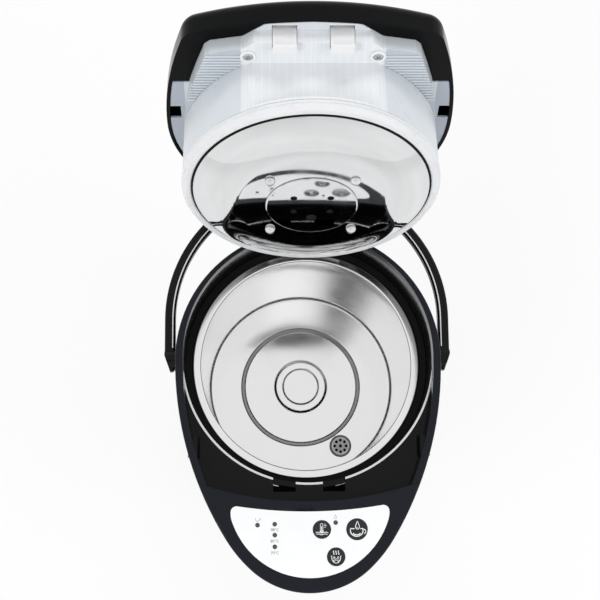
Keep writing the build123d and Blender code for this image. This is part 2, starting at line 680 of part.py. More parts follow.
cavity_ceiling = recess_floor - 2.2
panel_ceiling = collar_top - 2.6
hump_half_width = 45.0
hump_top = hinge_z - 17.6
nose_back = -40.0  # where the hollow of the nose starts
spigot_bottom = collar_bottom - 6.3
knuckle_half_width = 30.2
with BuildPart() as collar:
    with BuildSketch(Plane.XY.offset(collar_bottom)):
        add(outline.sketch)
    extrude(amount=collar_top - collar_bottom)
    fillet(collar.edges().group_by(Axis.Z)[-1], radius=2)
    # hinge hump and ears
    with Locations((0, hinge_y - 5.2, (collar_bottom + hump_top) / 2)):
        Box(2 * hump_half_width, 22, hump_top - collar_bottom)
    fillet(collar.edges().filter_by(Axis.Z).group_by(Axis.Y)[-1], radius=6)
    with BuildSketch(Plane.YZ.offset(-hump_half_width)):
        with Locations((hinge_y, hinge_z)):
            Circle(9)
        with Locations((hinge_y - 0.6, hinge_z - 10.6)):
            Rectangle(16.8, 22)
    extrude(amount=2 * hump_half_width)
    with BuildSketch(Plane.YZ.offset(-knuckle_half_width - gap)):
        with Locations((hinge_y, hinge_z)):
            Circle(24)
        with Locations((hinge_y - 4, hinge_z + 12)):
            Rectangle(40, 24)
    extrude(amount=2 * (knuckle_half_width + gap), mode=Mode.SUBTRACT)
    # well
    with BuildSketch(Plane.XZ):
        with BuildLine():
            Polyline(
                (0, well_floor),
                (well_bottom_radius, well_floor),
                (well_bottom_radius, rim_height),
                (well_top_radius, recess_floor),
                (well_top_radius, collar_top + 1),
                (0, collar_top + 1),
                close=True,
            )
        make_face()
    revolve(axis=Axis.Z, mode=Mode.SUBTRACT)
    with BuildSketch(Plane.XY.offset(collar_bottom)):
        Circle(pot_radius + pot_sheet + 1.0)
    extrude(amount=5, mode=Mode.SUBTRACT)
    # side faces and recess behind the land
    with BuildSketch(Plane.XY.offset(side_face)):
        with Locations((0, land_edge_y + land_edge_radius)):
            Circle(land_edge_radius)
    extrude(amount=5, mode=Mode.SUBTRACT)
    with BuildSketch(Plane.XY.offset(recess_floor)):
        add(outline.sketch)
        offset(amount=-recess_inset)
        with Locations((0, land_edge_y + land_edge_radius)):
            Circle(land_edge_radius, mode=Mode.INTERSECT)
        with Locations((0, -reach / 2)):
            Rectangle(reach, reach, mode=Mode.INTERSECT)
    extrude(amount=20, mode=Mode.SUBTRACT)
    # hollow of the nose
    with BuildSketch(Plane.XY.offset(collar_bottom)):
        add(outline.sketch)
        offset(amount=-collar_wall)
        Circle(well_bottom_radius + 2.6, mode=Mode.SUBTRACT)
        with Locations((0, nose_back - reach / 2)):
            Rectangle(reach, reach, mode=Mode.INTERSECT)
    extrude(amount=cavity_ceiling - collar_bottom, mode=Mode.SUBTRACT)
    with BuildSketch(Plane.XY.offset(collar_bottom)):
        add(outline.sketch)
        offset(amount=-collar_wall)
        with Locations((0, land_edge_y + land_edge_radius)):
            Circle(land_edge_radius + collar_wall, mode=Mode.SUBTRACT)
    extrude(amount=panel_ceiling - collar_bottom, mode=Mode.SUBTRACT)
    # spigot inside the sleeve
    with BuildSketch(Plane.XY.offset(spigot_bottom)):
        Circle(sleeve_radius - sleeve_sheet - gap)
        Circle(rim_radius + 0.1, mode=Mode.SUBTRACT)
        with Locations((0, 7.5 - sleeve_radius)):
            Rectangle(34, 40, mode=Mode.SUBTRACT)
    extrude(amount=collar_bottom + 1 - spigot_bottom)
    with BuildSketch(Plane.XY.offset(spigot_bottom)):
        with PolarLocations(rod_ring, 4, start_angle=45):
            Circle(rod_radius + 0.1)
    extrude(amount=5, mode=Mode.SUBTRACT)
    # openings for the latch claws, and the guide pegs
    for x in (-claw_x, claw_x):
        with Locations((x, claw_y + 0.5, recess_floor)):
            Box(claw_width + 1.4, 12.2, 12, mode=Mode.SUBTRACT)
    for x in (14.2 - collar_half_width, collar_half_width - 14.2):
        with Locations(Location((x, land_edge_y + 41.8, collar_top - 7), (90, 0, 0))):
            Cylinder(4.3, 16)
    # panel: shallow seat for the label, holes for buttons and lights, finger slot
    with BuildSketch(Plane.XY.offset(side_face)):
        add(label_outline.sketch)
        offset(amount=gap)
    extrude(amount=2, mode=Mode.SUBTRACT)
    with BuildSketch(Plane.XY.offset(panel_ceiling - 1)):
        for x, y, radius in buttons.values():
            with Locations((x, y)):
                Circle(radius + slip_fit)
        with Locations(*lights):
            Circle(light_radius + slip_fit)
    extrude(amount=5, mode=Mode.SUBTRACT)
    with BuildSketch(Plane.XY.offset(collar_top - 1.4)):
        with Locations((-3.7, land_edge_y - 5.7)):
            RectangleRounded(12.9, 2.4, 0.8)
    extrude(amount=3, mode=Mode.SUBTRACT)
    # handle pads and pivot holes
    for x in (-collar_half_width - 0.9, collar_half_width - 3):
        with BuildSketch(Plane.YZ.offset(x)):
            with Locations((0, pivot_z)):
                Circle(9)
        extrude(amount=3.9)
    for x in (-collar_half_width - 17.6, collar_half_width - 3.6):
        with BuildSketch(Plane.YZ.offset(x)):
            with Locations((0, pivot_z)):
                Circle(pivot_radius + slip_fit)
        extrude(amount=21.2, mode=Mode.SUBTRACT)
    with BuildSketch(Plane.YZ.offset(-hump_half_width - 15)):
        with Locations((hinge_y, hinge_z)):
            Circle(2.5 + slip_fit)
    extrude(amount=2 * hump_half_width + 30, mode=Mode.SUBTRACT)

with BuildPart() as rim_seal:
    with BuildSketch(Plane.XY.offset(well_floor + gap)):
        Circle(well_bottom_radius - gap)
        Circle(rim_radius + gap, mode=Mode.SUBTRACT)
    extrude(amount=4.4)

with BuildPart() as hinge_pin:
    with BuildSketch(Plane.YZ.offset(-hump_half_width + 0.5)):
        with Locations((hinge_y, hinge_z)):
            Circle(2.5)
    extrude(amount=2 * hump_half_width - 1)

with BuildPart() as beak_cover:
    with BuildSketch(Plane.XY.offset(collar_bottom)):
        add(outline.sketch)
        offset(amount=-collar_wall - gap)
        Circle(well_bottom_radius + 2.6 + gap, mode=Mode.SUBTRACT)
        with Locations((0, nose_back - gap - reach / 2)):
            Rectangle(reach, reach, mode=Mode.INTERSECT)
    extrude(amount=2.5)
    with BuildSketch(Plane.XY.offset(collar_bottom - 6)):
        with Locations((0, nozzle_y)):
            Circle(14)
            Circle(11, mode=Mode.SUBTRACT)
    extrude(amount=7)
    with BuildSketch(Plane.XY.offset(collar_bottom - 8)):
        with Locations((0, nozzle_y)):
            Circle(8 + gap)
        with Locations((0, tube_y)):
            Circle(valve_radius + 2 * gap)
    extrude(amount=14, mode=Mode.SUBTRACT)

# ---------------------------------------------------------------- control panel

with BuildPart() as panel_overlay:
    with BuildSketch(Plane.XY.offset(side_face + 0.2)):
        add(label_outline.sketch)
        for x, y, radius in buttons.values():
            with Locations((x, y)):
                Circle(radius + slip_fit, mode=Mode.SUBTRACT)
        with Locations(*lights):
            Circle(light_radius + slip_fit, mode=Mode.SUBTRACT)
    extrude(amount=0.8)

board_z = panel_ceiling - 17.4
stem_bottom = board_z + 7.7
with BuildPart() as control_board:
    with BuildSketch(Plane.XY.offset(board_z)):
        add(outline.sketch)
        offset(amount=-6.5)
        with Locations((0, land_edge_y - 27.7)):
            Rectangle(96, 44, mode=Mode.INTERSECT)
    extrude(amount=1.6)
    with Locations((-20, land_edge_y - 40.7, board_z - 3)):
        Box(12, 9, 6.2)
    with BuildSketch(Plane.XY.offset(board_z + 1)):
        with Locations((-42, land_edge_y - 8.2), (44, land_edge_y - 8.2)):
            Circle(2.2)
    extrude(amount=panel_ceiling - gap - board_z - 1)

with BuildPart() as tact_switches:
    with BuildSketch(Plane.XY.offset(board_z + 1.6 + gap)):
        for x, y, radius in buttons.values():
            with Locations((x, y)):
                Rectangle(6, 6)
    extrude(amount=3.4)
    with BuildSketch(Plane.XY.offset(board_z + 1.6 + gap + 3.4)):
        for x, y, radius in buttons.values():
            with Locations((x, y)):
                Circle(1.7)
    extrude(amount=1.6)

with BuildPart() as button_temperature:
    with BuildSketch(Plane.XY.offset(panel_ceiling - 0.8)):
        with Locations(buttons["button_temperature"][:2]):
            Circle(buttons["button_temperature"][2])
    extrude(amount=collar_top + 0.6 - panel_ceiling + 0.8)
    fillet(button_temperature.edges().group_by(Axis.Z)[-1], radius=0.5)
    with BuildSketch(Plane.XY.offset(panel_ceiling - 2.2)):
        with Locations(buttons["button_temperature"][:2]):
            Circle(buttons["button_temperature"][2] + 1.2)
    extrude(amount=1.6)
    with BuildSketch(Plane.XY.offset(stem_bottom)):
        with Locations(buttons["button_temperature"][:2]):
            Circle(2.5)
    extrude(amount=panel_ceiling - 0.7 - stem_bottom)

with BuildPart() as button_dispense:
    with BuildSketch(Plane.XY.offset(panel_ceiling - 0.8)):
        with Locations(buttons["button_dispense"][:2]):
            Circle(buttons["button_dispense"][2])
    extrude(amount=collar_top + 0.6 - panel_ceiling + 0.8)
    fillet(button_dispense.edges().group_by(Axis.Z)[-1], radius=0.5)
    with BuildSketch(Plane.XY.offset(panel_ceiling - 2.2)):
        with Locations(buttons["button_dispense"][:2]):
            Circle(buttons["button_dispense"][2] + 1.2)
    extrude(amount=1.6)
    with BuildSketch(Plane.XY.offset(stem_bottom)):
        with Locations(buttons["button_dispense"][:2]):
            Circle(2.5)
    extrude(amount=panel_ceiling - 0.7 - stem_bottom)

with BuildPart() as button_steam:
    with BuildSketch(Plane.XY.offset(panel_ceiling - 0.8)):
        with Locations(buttons["button_steam"][:2]):
            Circle(buttons["button_steam"][2])
    extrude(amount=collar_top + 0.6 - panel_ceiling + 0.8)
    fillet(button_steam.edges().group_by(Axis.Z)[-1], radius=0.5)
    with BuildSketch(Plane.XY.offset(panel_ceiling - 2.2)):
        with Locations(buttons["button_steam"][:2]):
            Circle(buttons["button_steam"][2] + 1.2)
    extrude(amount=1.6)
    with BuildSketch(Plane.XY.offset(stem_bottom)):
        with Locations(buttons["button_steam"][:2]):
            Circle(2.5)
    extrude(amount=panel_ceiling - 0.7 - stem_bottom)

with BuildPart() as light_pipes:
    with BuildSketch(Plane.XY.offset(board_z + 1.6 + gap)):
        with Locations(*lights):
            Circle(light_radius)
    extrude(amount=collar_top + 0.2 - board_z - 1.6 - gap)

# ---------------------------------------------------------------- handle

with BuildPart() as handle:
    with BuildSketch(Plane.XY.offset(pivot_z - handle_height / 2)):
        with Locations((0, handle_bend_y)):
            Circle(handle_radius)
            Circle(handle_radius - handle_bar, mode=Mode.SUBTRACT)
        with Locations((0, handle_bend_y - reach / 2)):
            Rectangle(reach, reach, mode=Mode.SUBTRACT)
        with Locations(
            (handle_radius - handle_bar / 2, (handle_bend_y + arm_end_y) / 2),
            (-handle_radius + handle_bar / 2, (handle_bend_y + arm_end_y) / 2),
        ):
            Rectangle(handle_bar, handle_bend_y - arm_end_y)
    extrude(amount=handle_height)
    fillet(handle.edges().filter_by(Axis.Z).group_by(Axis.Y)[0], radius=4)
    fillet(handle.edges().group_by(Axis.Z)[0] + handle.edges().group_by(Axis.Z)[-1], radius=1.6)
    for x in (-handle_radius, handle_radius - handle_bar):
        with BuildSketch(Plane.YZ.offset(x)):
            with Locations((0, pivot_z)):
                Circle(eye_radius)
        extrude(amount=handle_bar)
    # blind holes from the inner sides
    for x in (-handle_radius + eye_cover, handle_radius - handle_bar - 1):
        with BuildSketch(Plane.YZ.offset(x)):
            with Locations((0, pivot_z)):
                Circle(pivot_radius + run_fit)
        extrude(amount=handle_bar + 1 - eye_cover, mode=Mode.SUBTRACT)
    # outer sides leaning in toward the ends
    taper_y, taper_slope = arm_taper
    tip_y = arm_end_y - 2
    for side in (-1, 1):
        with BuildSketch(Plane.XY.offset(pivot_z - eye_radius - 1)):
            with BuildLine():
                Polyline(
                    (side * handle_radius, taper_y),
                    (side * (handle_radius - taper_slope * (taper_y - tip_y)), tip_y),
                    (side * (handle_radius + 2), tip_y),
                    (side * (handle_radius + 2), taper_y),
                    close=True,
                )
            make_face()
        extrude(amount=2 * eye_radius + 2, mode=Mode.SUBTRACT)

with BuildPart() as handle_pivots:
    with BuildSketch(Plane.YZ.offset(collar_half_width - 3.3)):
        with Locations((0, pivot_z)):
            Circle(pivot_radius)
    extrude(amount=handle_radius - eye_cover - gap - collar_half_width + 3.3)
    chamfer(handle_pivots.edges().group_by(Axis.X)[-1], length=0.6)
    mirror(about=Plane.YZ)

# ---------------------------------------------------------------- lid, drawn closed

with BuildPart() as lid_block:
    with BuildSketch(Plane.XY.offset(lid_edge)):
        add(lid_outline.sketch)
    extrude(amount=lid_top - lid_edge)
    fillet(lid_block.edges().group_by(Axis.Z)[-1], radius=lid_rounding)

with BuildPart() as lid_hollow:
    with BuildSketch(Plane.XY.offset(lid_edge)):
        add(lid_inside.sketch)
    extrude(amount=lid_top - lid_edge - lid_wall)
    fillet(lid_hollow.edges().group_by(Axis.Z)[-1], radius=lid_rounding - lid_wall)

# window for the thumb lever: x, y size and y centre
lever_size = (50.0, 19.0)
lever_centre = land_edge_y + 18.8
ledge_back = -48.2
lever_swing = 1.2  # room in front of the lever's edge, which moves forward as it dips
with BuildPart() as lid_shell:
    add(lid_block.part)
    add(lid_hollow.part, mode=Mode.SUBTRACT)
    # ledge along the front, between the wall and the tray's flange
    with BuildSketch(Plane.XY.offset(flange_bottom + 0.4)):
        add(lid_outline.sketch)
        with Locations((0, ledge_back - reach / 2)):
            Rectangle(reach, reach, mode=Mode.INTERSECT)
        add(tray_clearance.sketch, mode=Mode.SUBTRACT)
    extrude(amount=2.0)
    # hinge knuckle: a neck up from the pin and forward into the wall, its back sloped clear of the handle
    with Locations((0, hinge_y - 11.7, lid_edge + 6.0)):
        Box(2 * knuckle_half_width, 11, 5)
    with BuildSketch(Plane.YZ.offset(-knuckle_half_width)):
        with Locations((hinge_y, hinge_z)):
            Circle(8.5)
        with BuildLine():
            Polyline(
                (hinge_y - 7, hinge_z),
                (hinge_y + 4, hinge_z),
                (hinge_y + 4, lid_edge - 3.6),
                (hinge_y - 5.7, lid_edge + 8.4),
                (hinge_y - 10.2, lid_edge + 8.4),
                (hinge_y - 10.2, lid_edge + 0.4),
                (hinge_y - 7, lid_edge + 0.4),
                close=True,
            )
        make_face()
    extrude(amount=2 * knuckle_half_width)
    with BuildSketch(Plane.YZ.offset(-hump_half_width)):
        with Locations((hinge_y, hinge_z)):
            Circle(2.5 + run_fit)
    extrude(amount=2 * hump_half_width, mode=Mode.SUBTRACT)
    # guide for the pump plate
    with BuildSketch(Plane.XY.offset(plunger_foot + 2.3)):
        Circle(plunger_radius + 0.6 + 2.2)
    extrude(amount=lid_top - 1 - plunger_foot - 2.3)
    with BuildSketch(Plane.XY.offset(plunger_foot)):
        Circle(plunger_radius + 0.6)
    extrude(amount=40, mode=Mode.SUBTRACT)
    # posts for the tray's screws
    with BuildSketch(Plane.XY.offset(tray_floor + tray_sheet + gap)):
        with Locations(*screws):
            Circle(4.2)
            Circle(1.8, mode=Mode.SUBTRACT)
    extrude(amount=lid_top - lid_wall + 0.5 - tray_floor - tray_sheet - gap)
    # windows for the lever and the steam outlet
    with Locations((0, lever_centre - lever_swing / 2, lid_top)):
        Box(lever_size[0] + 2 * gap, lever_size[1] + 2 * gap + lever_swing, 30, mode=Mode.SUBTRACT)
    with Locations((0, steam_y, lid_top)):
        Cylinder(13 + slip_fit, 20, mode=Mode.SUBTRACT)
    # ears that carry the lever
    for x in (-27.5, 27.5):
        with Locations((x, lever_y + 1, lever_z + 1.6)):
            Box(4, 7, 8.4)
    with BuildSketch(Plane.YZ.offset(-40)):
        with Locations((lever_y, lever_z)):
            Circle(1.5 + run_fit)
    extrude(amount=80, mode=Mode.SUBTRACT)

with BuildPart() as lid_liner:
    with BuildSketch(Plane.XY.offset(flange_bottom)):
        add(outline.sketch)
        offset(amount=0.4 - lid_wall - gap)
        with Locations((0, ledge_back + 0.6 + reach / 2)):
            Rectangle(reach, reach, mode=Mode.INTERSECT)
        add(flange_outline.sketch)
        add(tray_outline.sketch, mode=Mode.SUBTRACT)
        with Locations((0, hinge_y - 7.2)):
            Rectangle(2 * knuckle_half_width + 2, 16, mode=Mode.SUBTRACT)
    extrude(amount=tray_sheet)
    with BuildSketch(Plane.XY.offset(tray_floor)):
        add(tray_outline.sketch)
    extrude(amount=flange_bottom + tray_sheet - tray_floor)
    with BuildSketch(Plane.XY.offset(tray_floor + tray_sheet)):
        add(tray_outline.sketch)
        offset(amount=-tray_sheet)
    extrude(amount=20, mode=Mode.SUBTRACT)
    with BuildSketch(Plane.XY.offset(drum_bottom)):
        Circle(drum_radius)
        with Locations((0, drum_flat_y - 20)):
            Rectangle(reach, 40, mode=Mode.SUBTRACT)
    extrude(amount=tray_floor - drum_bottom)
    with BuildSketch(Plane.XY.offset(drum_bottom)):
        Circle(drum_radius)
    extrude(amount=2)
    with BuildSketch(Plane.XY.offset(drum_bottom + 2)):
        Circle(drum_radius - drum_wall)
        with Locations((0, drum_flat_y + drum_wall - 20)):
            Rectangle(reach, 40, mode=Mode.SUBTRACT)
    extrude(amount=60, mode=Mode.SUBTRACT)
    # fine ribs under the tray
    with BuildSketch(Plane.XY.offset(tray_floor - 0.8)):
        with Locations((0, land_edge_y + 46.8)):
            with GridLocations(0, 2.75, 1, 17):
                Rectangle(reach, 1.1)
        add(tray_outline.sketch, mode=Mode.INTERSECT)
        Circle(drum_radius + 0.5, mode=Mode.SUBTRACT)
        with Locations((0, land_edge_y + 26.3)):
            Rectangle(96, 40, mode=Mode.SUBTRACT)
    extrude(amount=1.0)
    # holes: screws, claws, valve, plate studs, steam tube
    with BuildSketch(Plane.XY.offset(drum_bottom - 1)):
        with Locations(*screws):
            Circle(1.8)
        Circle(6)
        with Locations(*studs):
            Circle(1.8)
        with Locations((0, steam_y)):
            Circle(7)
    extrude(amount=60, mode=Mode.SUBTRACT)
    for x in (-claw_x, claw_x):
        with Locations((x, claw_y - 0.7, tray_floor + 5)):
            Box(claw_width + 2 * gap, 10.4, 16, mode=Mode.SUBTRACT)
    # clip notches in the wings
    for x in (5.9 - collar_half_width, collar_half_width - 5.9):
        with Locations((x, -15, flange_bottom)):
            Box(9, 13, 6, mode=Mode.SUBTRACT)

with BuildPart() as lid_screws:
    with BuildSketch(Plane.XY.offset(tray_floor - 1.3)):
        with Locations(*screws):
            Circle(3.2)
    extrude(amount=1.1)
    with BuildSketch(Plane.XY.offset(tray_floor - 0.8)):
        with Locations(*screws):
            Circle(1.5)
    extrude(amount=16)

with BuildPart() as lid_ring:
    with BuildSketch(Plane.XZ):
        with BuildLine():
            Polyline(
                (plate_radius + 1.4, rim_height + 1.2),
                (plate_radius + 2.2, rim_height + 0.4),
                (ring_radius - 2.3, rim_height + 0.4),
                (ring_radius - 0.6, rim_height + 2.0),
                (ring_radius, rim_height + 4.2),
                (ring_radius, drum_bottom - 1.1),
                (ring_radius - 0.8, drum_bottom - gap),
                (plate_radius + 1.4, drum_bottom - gap),
                close=True,
            )
        make_face()
    revolve(axis=Axis.Z)

with BuildPart() as lid_seal:
    with BuildSketch(Plane.XY.offset(rim_height + 1.0)):
        Circle(plate_radius + 1.2)
        Circle(plate_radius + 0.2, mode=Mode.SUBTRACT)
    extrude(amount=7)

dome_start = plate_radius - 31.5
with BuildPart() as lid_plate:
    with BuildSketch(Plane.XZ):
        with BuildLine():
            Line((0, plate_flat), (dome_start, plate_flat))
            ThreePointArc(
                (dome_start, plate_flat),
                (plate_radius - 14, plate_flat + 0.33 * plate_dome),
                (plate_radius - 1.4, plate_edge),
            )
            Polyline(
                (plate_radius - 1.4, plate_edge),
                (plate_radius, plate_edge + 2.8),
                (plate_radius, drum_bottom - 0.9),
                (plate_radius - 0.9, drum_bottom - 0.9),
                (plate_radius - 0.9, plate_edge + 3.2),
                (plate_radius - 2.1, plate_edge + 0.8),
            )
            ThreePointArc(
                (plate_radius - 2.1, plate_edge + 0.8),
                (plate_radius - 14.4, plate_flat + 0.33 * plate_dome + 0.9),
                (dome_start - 0.1, plate_flat + pot_sheet),
            )
            Line((dome_start - 0.1, plate_flat + pot_sheet), (0, plate_flat + pot_sheet))
            Line((0, plate_flat + pot_sheet), (0, plate_flat))
        make_face()
    revolve(axis=Axis.Z)
    with BuildSketch(Plane.XY.offset(plate_flat - 2)):
        Circle(5)
        with Locations(*studs):
            Circle(1.8)
    extrude(amount=5, mode=Mode.SUBTRACT)

with BuildPart() as plate_cap:
    with BuildSketch(Plane.XY.offset(plate_flat - gap)):
        Circle(32.2)
    extrude(amount=-1.4)
    fillet(plate_cap.edges().group_by(Axis.Z)[0], radius=1.1)
    with BuildSketch(Plane.XY.offset(plate_flat - 4)):
        with Locations((-12.6, -10.6), (12.9, -10.6), (-12.6, 5.6), (12.9, 5.6)):
            Circle(2.4)
        with Locations((0, 13.2)):
            Circle(3.8)
    extrude(amount=5, mode=Mode.SUBTRACT)

with BuildPart() as plate_studs:
    with Locations(*[(x, y, plate_flat - gap) for x, y in studs]):
        Sphere(3.6)
    with BuildSketch(Plane.XY.offset(plate_flat - gap)):
        Circle(60)
    extrude(amount=6, mode=Mode.SUBTRACT)
    with BuildSketch(Plane.XY.offset(plate_flat - 1)):
        with Locations(*studs):
            Circle(1.5)
    extrude(amount=drum_bottom + 5 - plate_flat)
    with BuildSketch(Plane.XY.offset(drum_bottom + 2 + gap)):
        with Locations(*studs):
            RegularPolygon(3.2, 6)
    extrude(amount=2.4)

with BuildPart() as air_valve:
    with BuildSketch(Plane.XY.offset(drum_bottom - gap)):
        Circle(10)
    extrude(amount=-1.4)
    with BuildSketch(Plane.XY.offset(drum_bottom - 1)):
        Circle(2)
    extrude(amount=5)
    with BuildSketch(Plane.XY.offset(drum_bottom + 3.2)):
        Circle(3.4)
    extrude(amount=1.2)

bellows_foot = drum_bottom + 2 + gap
bellows_height = plunger_foot - gap - bellows_foot
pleats = 6
with BuildPart() as bellows:
    with BuildSketch(Plane.XZ):
        with BuildLine():
            pitch = bellows_height / pleats
            outside = [(25.0, bellows_foot)]
            for step in range(pleats):
                outside.append((24.4, bellows_foot + pitch * step + 0.6))
                outside.append((17.6, bellows_foot + pitch * (step + 0.5)))
            outside.append((25.0, bellows_foot + bellows_height))
            inside = [(r - 1.4, z) for r, z in reversed(outside)]
            Polyline(*outside, *inside, close=True)
        make_face()
    revolve(axis=Axis.Z)

wire = 0.9
with BuildPart() as pump_spring:
    with BuildLine() as spring_line:
        Helix(pitch=6.4, height=bellows_height - 2 * wire, radius=12.5, center=(0, 0, bellows_foot + wire))
    with BuildSketch(Plane(origin=spring_line.line @ 0, z_dir=spring_line.line % 0)):
        Circle(wire)
    sweep(path=spring_line.wires()[0])

with BuildPart() as pump_plate:
    with BuildSketch(Plane.XY.offset(plunger_foot)):
        Circle(plunger_radius + 2.6)
    extrude(amount=1.8)
    with BuildSketch(Plane.XY.offset(plunger_foot)):
        Circle(plunger_radius)
    extrude(amount=lid_top + 1.5 - plunger_foot)
    fillet(pump_plate.edges().group_by(Axis.Z)[-1], radius=2.5)
    with BuildSketch(Plane.XY.offset(plunger_foot + 2.4)):
        Circle(plunger_radius - 2.2)
    extrude(amount=lid_top - 1.5 - plunger_foot - 2.4, mode=Mode.SUBTRACT)

with BuildPart() as steam_tube:
    with BuildSketch(Plane.XY.offset(drum_bottom + 2 + gap)):
        with Locations((0, steam_y)):
            Circle(9.2)
            Circle(7.4, mode=Mode.SUBTRACT)
    extrude(amount=lid_top - 6 - drum_bottom - 2)

with BuildPart() as steam_cover:
    with BuildSketch(Plane.XY.offset(lid_top - 4)):
        with Locations((0, steam_y)):
            Circle(13)
    extrude(amount=4.4)
    fillet(steam_cover.edges().group_by(Axis.Z)[-1], radius=0.8)
    with BuildSketch(Plane.XY.offset(lid_top - 6)):
        with Locations((0, steam_y)):
            with GridLocations(3.6, 0, 5, 1):
                SlotOverall(15, 1.8, rotation=90)
    extrude(amount=8, mode=Mode.SUBTRACT)

slider_z = flange_bottom + tray_sheet + gap
claw_foot = flange_bottom - 17
with BuildPart() as latch_slider:
    with Locations((0, claw_y + 7.6, slider_z + 1)):
        Box(56, 15, 2)
    for x in (-claw_x, claw_x):
        with Locations((x, claw_y, (claw_foot + slider_z + 2) / 2)):
            Box(claw_width, 5, slider_z + 2 - claw_foot)
        with Locations((x, claw_y - 3.3, claw_foot + 1)):
            Box(claw_width, 2.8, 2)
    with Locations((0, claw_y + 10.5, slider_z + 1)):
        Box(9, 5.6, 4, mode=Mode.SUBTRACT)

with BuildPart() as lid_lever:
    add(lid_block.part)
    with Locations((0, lever_centre, lid_top)):
        Box(*lever_size, 40, mode=Mode.INTERSECT)
    add(lid_hollow.part, mode=Mode.SUBTRACT)
    with BuildSketch(Plane.YZ.offset(-24.8)):
        with Locations((lever_y, lever_z)):
            Circle(3)
        with Locations((lever_y - 2.4, lever_z + 3)):
            Rectangle(2.4, 6)
    extrude(amount=49.6)
    with BuildSketch(Plane.YZ.offset(-29.2)):
        with Locations((lever_y, lever_z)):
            Circle(1.5)
    extrude(amount=58.4)
    with Locations((0, claw_y + 7.5, (lid_edge + lid_top + 0.4) / 2)):
        Box(7, 2.6, lid_height - 3.4)

# ---------------------------------------------------------------- write the pieces

fixed = {
    "rubber_pad": rubber_pad,
    "turntable": turntable,
    "table_retainer": table_retainer,
    "base_housing": base_housing,
    "tie_rods": tie_rods,
    "inlet_socket": inlet_socket,
    "inlet_pins": inlet_pins,
    "power_board": power_board,
    "pump_motor": pump_motor,
    "drive_magnet": drive_magnet,
    "pump_housing": pump_housing,
    "impeller": impeller,
    "pump_cover": pump_cover,
    "inlet_hose": inlet_hose,
    "outlet_fitting": outlet_fitting,
    "discharge_hose": discharge_hose,
    "inner_pot": inner_pot,
    "pot_strainer": pot_strainer,
    "heater_plate": heater_plate,
    "thermostat": thermostat,
    "temperature_probe": temperature_probe,
    "warming_band": warming_band,
    "insulation_jacket": insulation_jacket,
    "outer_sleeve": outer_sleeve,
    "front_column": front_column,
    "level_window": level_window,
    "sight_tube": sight_tube,
    "tip_valve": tip_valve,
    "tip_ball": tip_ball,
    "outlet_elbow": outlet_elbow,
    "spout_nozzle": spout_nozzle,
    "collar": collar,
    "rim_seal": rim_seal,
    "hinge_pin": hinge_pin,
    "beak_cover": beak_cover,
    "panel_overlay": panel_overlay,
    "control_board": control_board,
    "tact_switches": tact_switches,
    "button_temperature": button_temperature,
    "button_dispense": button_dispense,
    "button_steam": button_steam,
    "light_pipes": light_pipes,
    "handle": handle,
    "handle_pivots": handle_pivots,
}
for name, piece in fixed.items():
    piece.part.label = name
    export_step(piece.part, f"parts/{name}.step")

lid_axis = Axis((0, hinge_y, hinge_z), (1, 0, 0))
lever_axis = Axis((0, lever_y, lever_z), (1, 0, 0))
lid_pieces = {
    "lid_shell": lid_shell.part,
    "lid_liner": lid_liner.part,
    "lid_screws": lid_screws.part,
    "lid_ring": lid_ring.part,
    "lid_seal": lid_seal.part,
    "lid_plate": lid_plate.part,
    "plate_cap": plate_cap.part,
    "plate_studs": plate_studs.part,
    "air_valve": air_valve.part,
    "bellows": bellows.part,
    "pump_spring": pump_spring.part,
    "pump_plate": pump_plate.part,
    "steam_tube": steam_tube.part,
    "steam_cover": steam_cover.part,
    "latch_slider": latch_slider.part,
    "lid_lever": lid_lever.part.rotate(lever_axis, lever_press),
}
for name, piece in lid_pieces.items():
    opened = piece.rotate(lid_axis, -lid_open)
    opened.label = name
    export_step(opened, f"parts/{name}.step")
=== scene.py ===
"""Electric thermo pot, lid open: finishes, turned steel, printed panel and small fittings.

Lengths are millimetres until a mesh is made, then metres. The floor is z = 0, the pot's axis is
the Z axis and the spout side is -Y. What belongs to the lid is drawn closed and turned open.
"""

from math import atan2, cos, pi, radians, sin

import bmesh
import bpy
from mathutils import Euler, Matrix, Vector


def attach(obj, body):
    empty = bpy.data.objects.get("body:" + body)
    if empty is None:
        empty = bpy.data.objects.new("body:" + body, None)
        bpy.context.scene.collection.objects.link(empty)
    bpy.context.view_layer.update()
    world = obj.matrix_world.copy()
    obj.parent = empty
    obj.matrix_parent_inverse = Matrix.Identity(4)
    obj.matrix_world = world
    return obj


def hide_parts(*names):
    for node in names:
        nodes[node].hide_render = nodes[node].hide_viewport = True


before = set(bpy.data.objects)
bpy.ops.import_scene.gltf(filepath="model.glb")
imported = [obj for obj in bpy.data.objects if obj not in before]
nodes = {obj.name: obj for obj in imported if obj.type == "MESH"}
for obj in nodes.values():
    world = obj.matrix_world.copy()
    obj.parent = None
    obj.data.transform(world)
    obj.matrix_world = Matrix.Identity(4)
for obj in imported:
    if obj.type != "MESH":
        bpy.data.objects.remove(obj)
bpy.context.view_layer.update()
MM = 0.001

# ---------------------------------------------------------------- camera

LENS = 75.0
SENSOR = 36.0
CAMERA_PLACE = (-0.031485, -0.124987, 1.257306)
CAMERA_TURN = (9.9941, -1.4303, -0.5815)  # degrees about X, Y and Z


def put_camera():
    camera = bpy.data.objects.new("camera", bpy.data.cameras.new("camera"))
    camera.data.lens = LENS
    camera.data.sensor_width = SENSOR
    camera.location = CAMERA_PLACE
    camera.rotation_euler = Euler([radians(angle) for angle in CAMERA_TURN], "XYZ")
    bpy.context.scene.collection.objects.link(camera)
    bpy.context.scene.camera = camera


put_camera()

# ---------------------------------------------------------------- shader maths


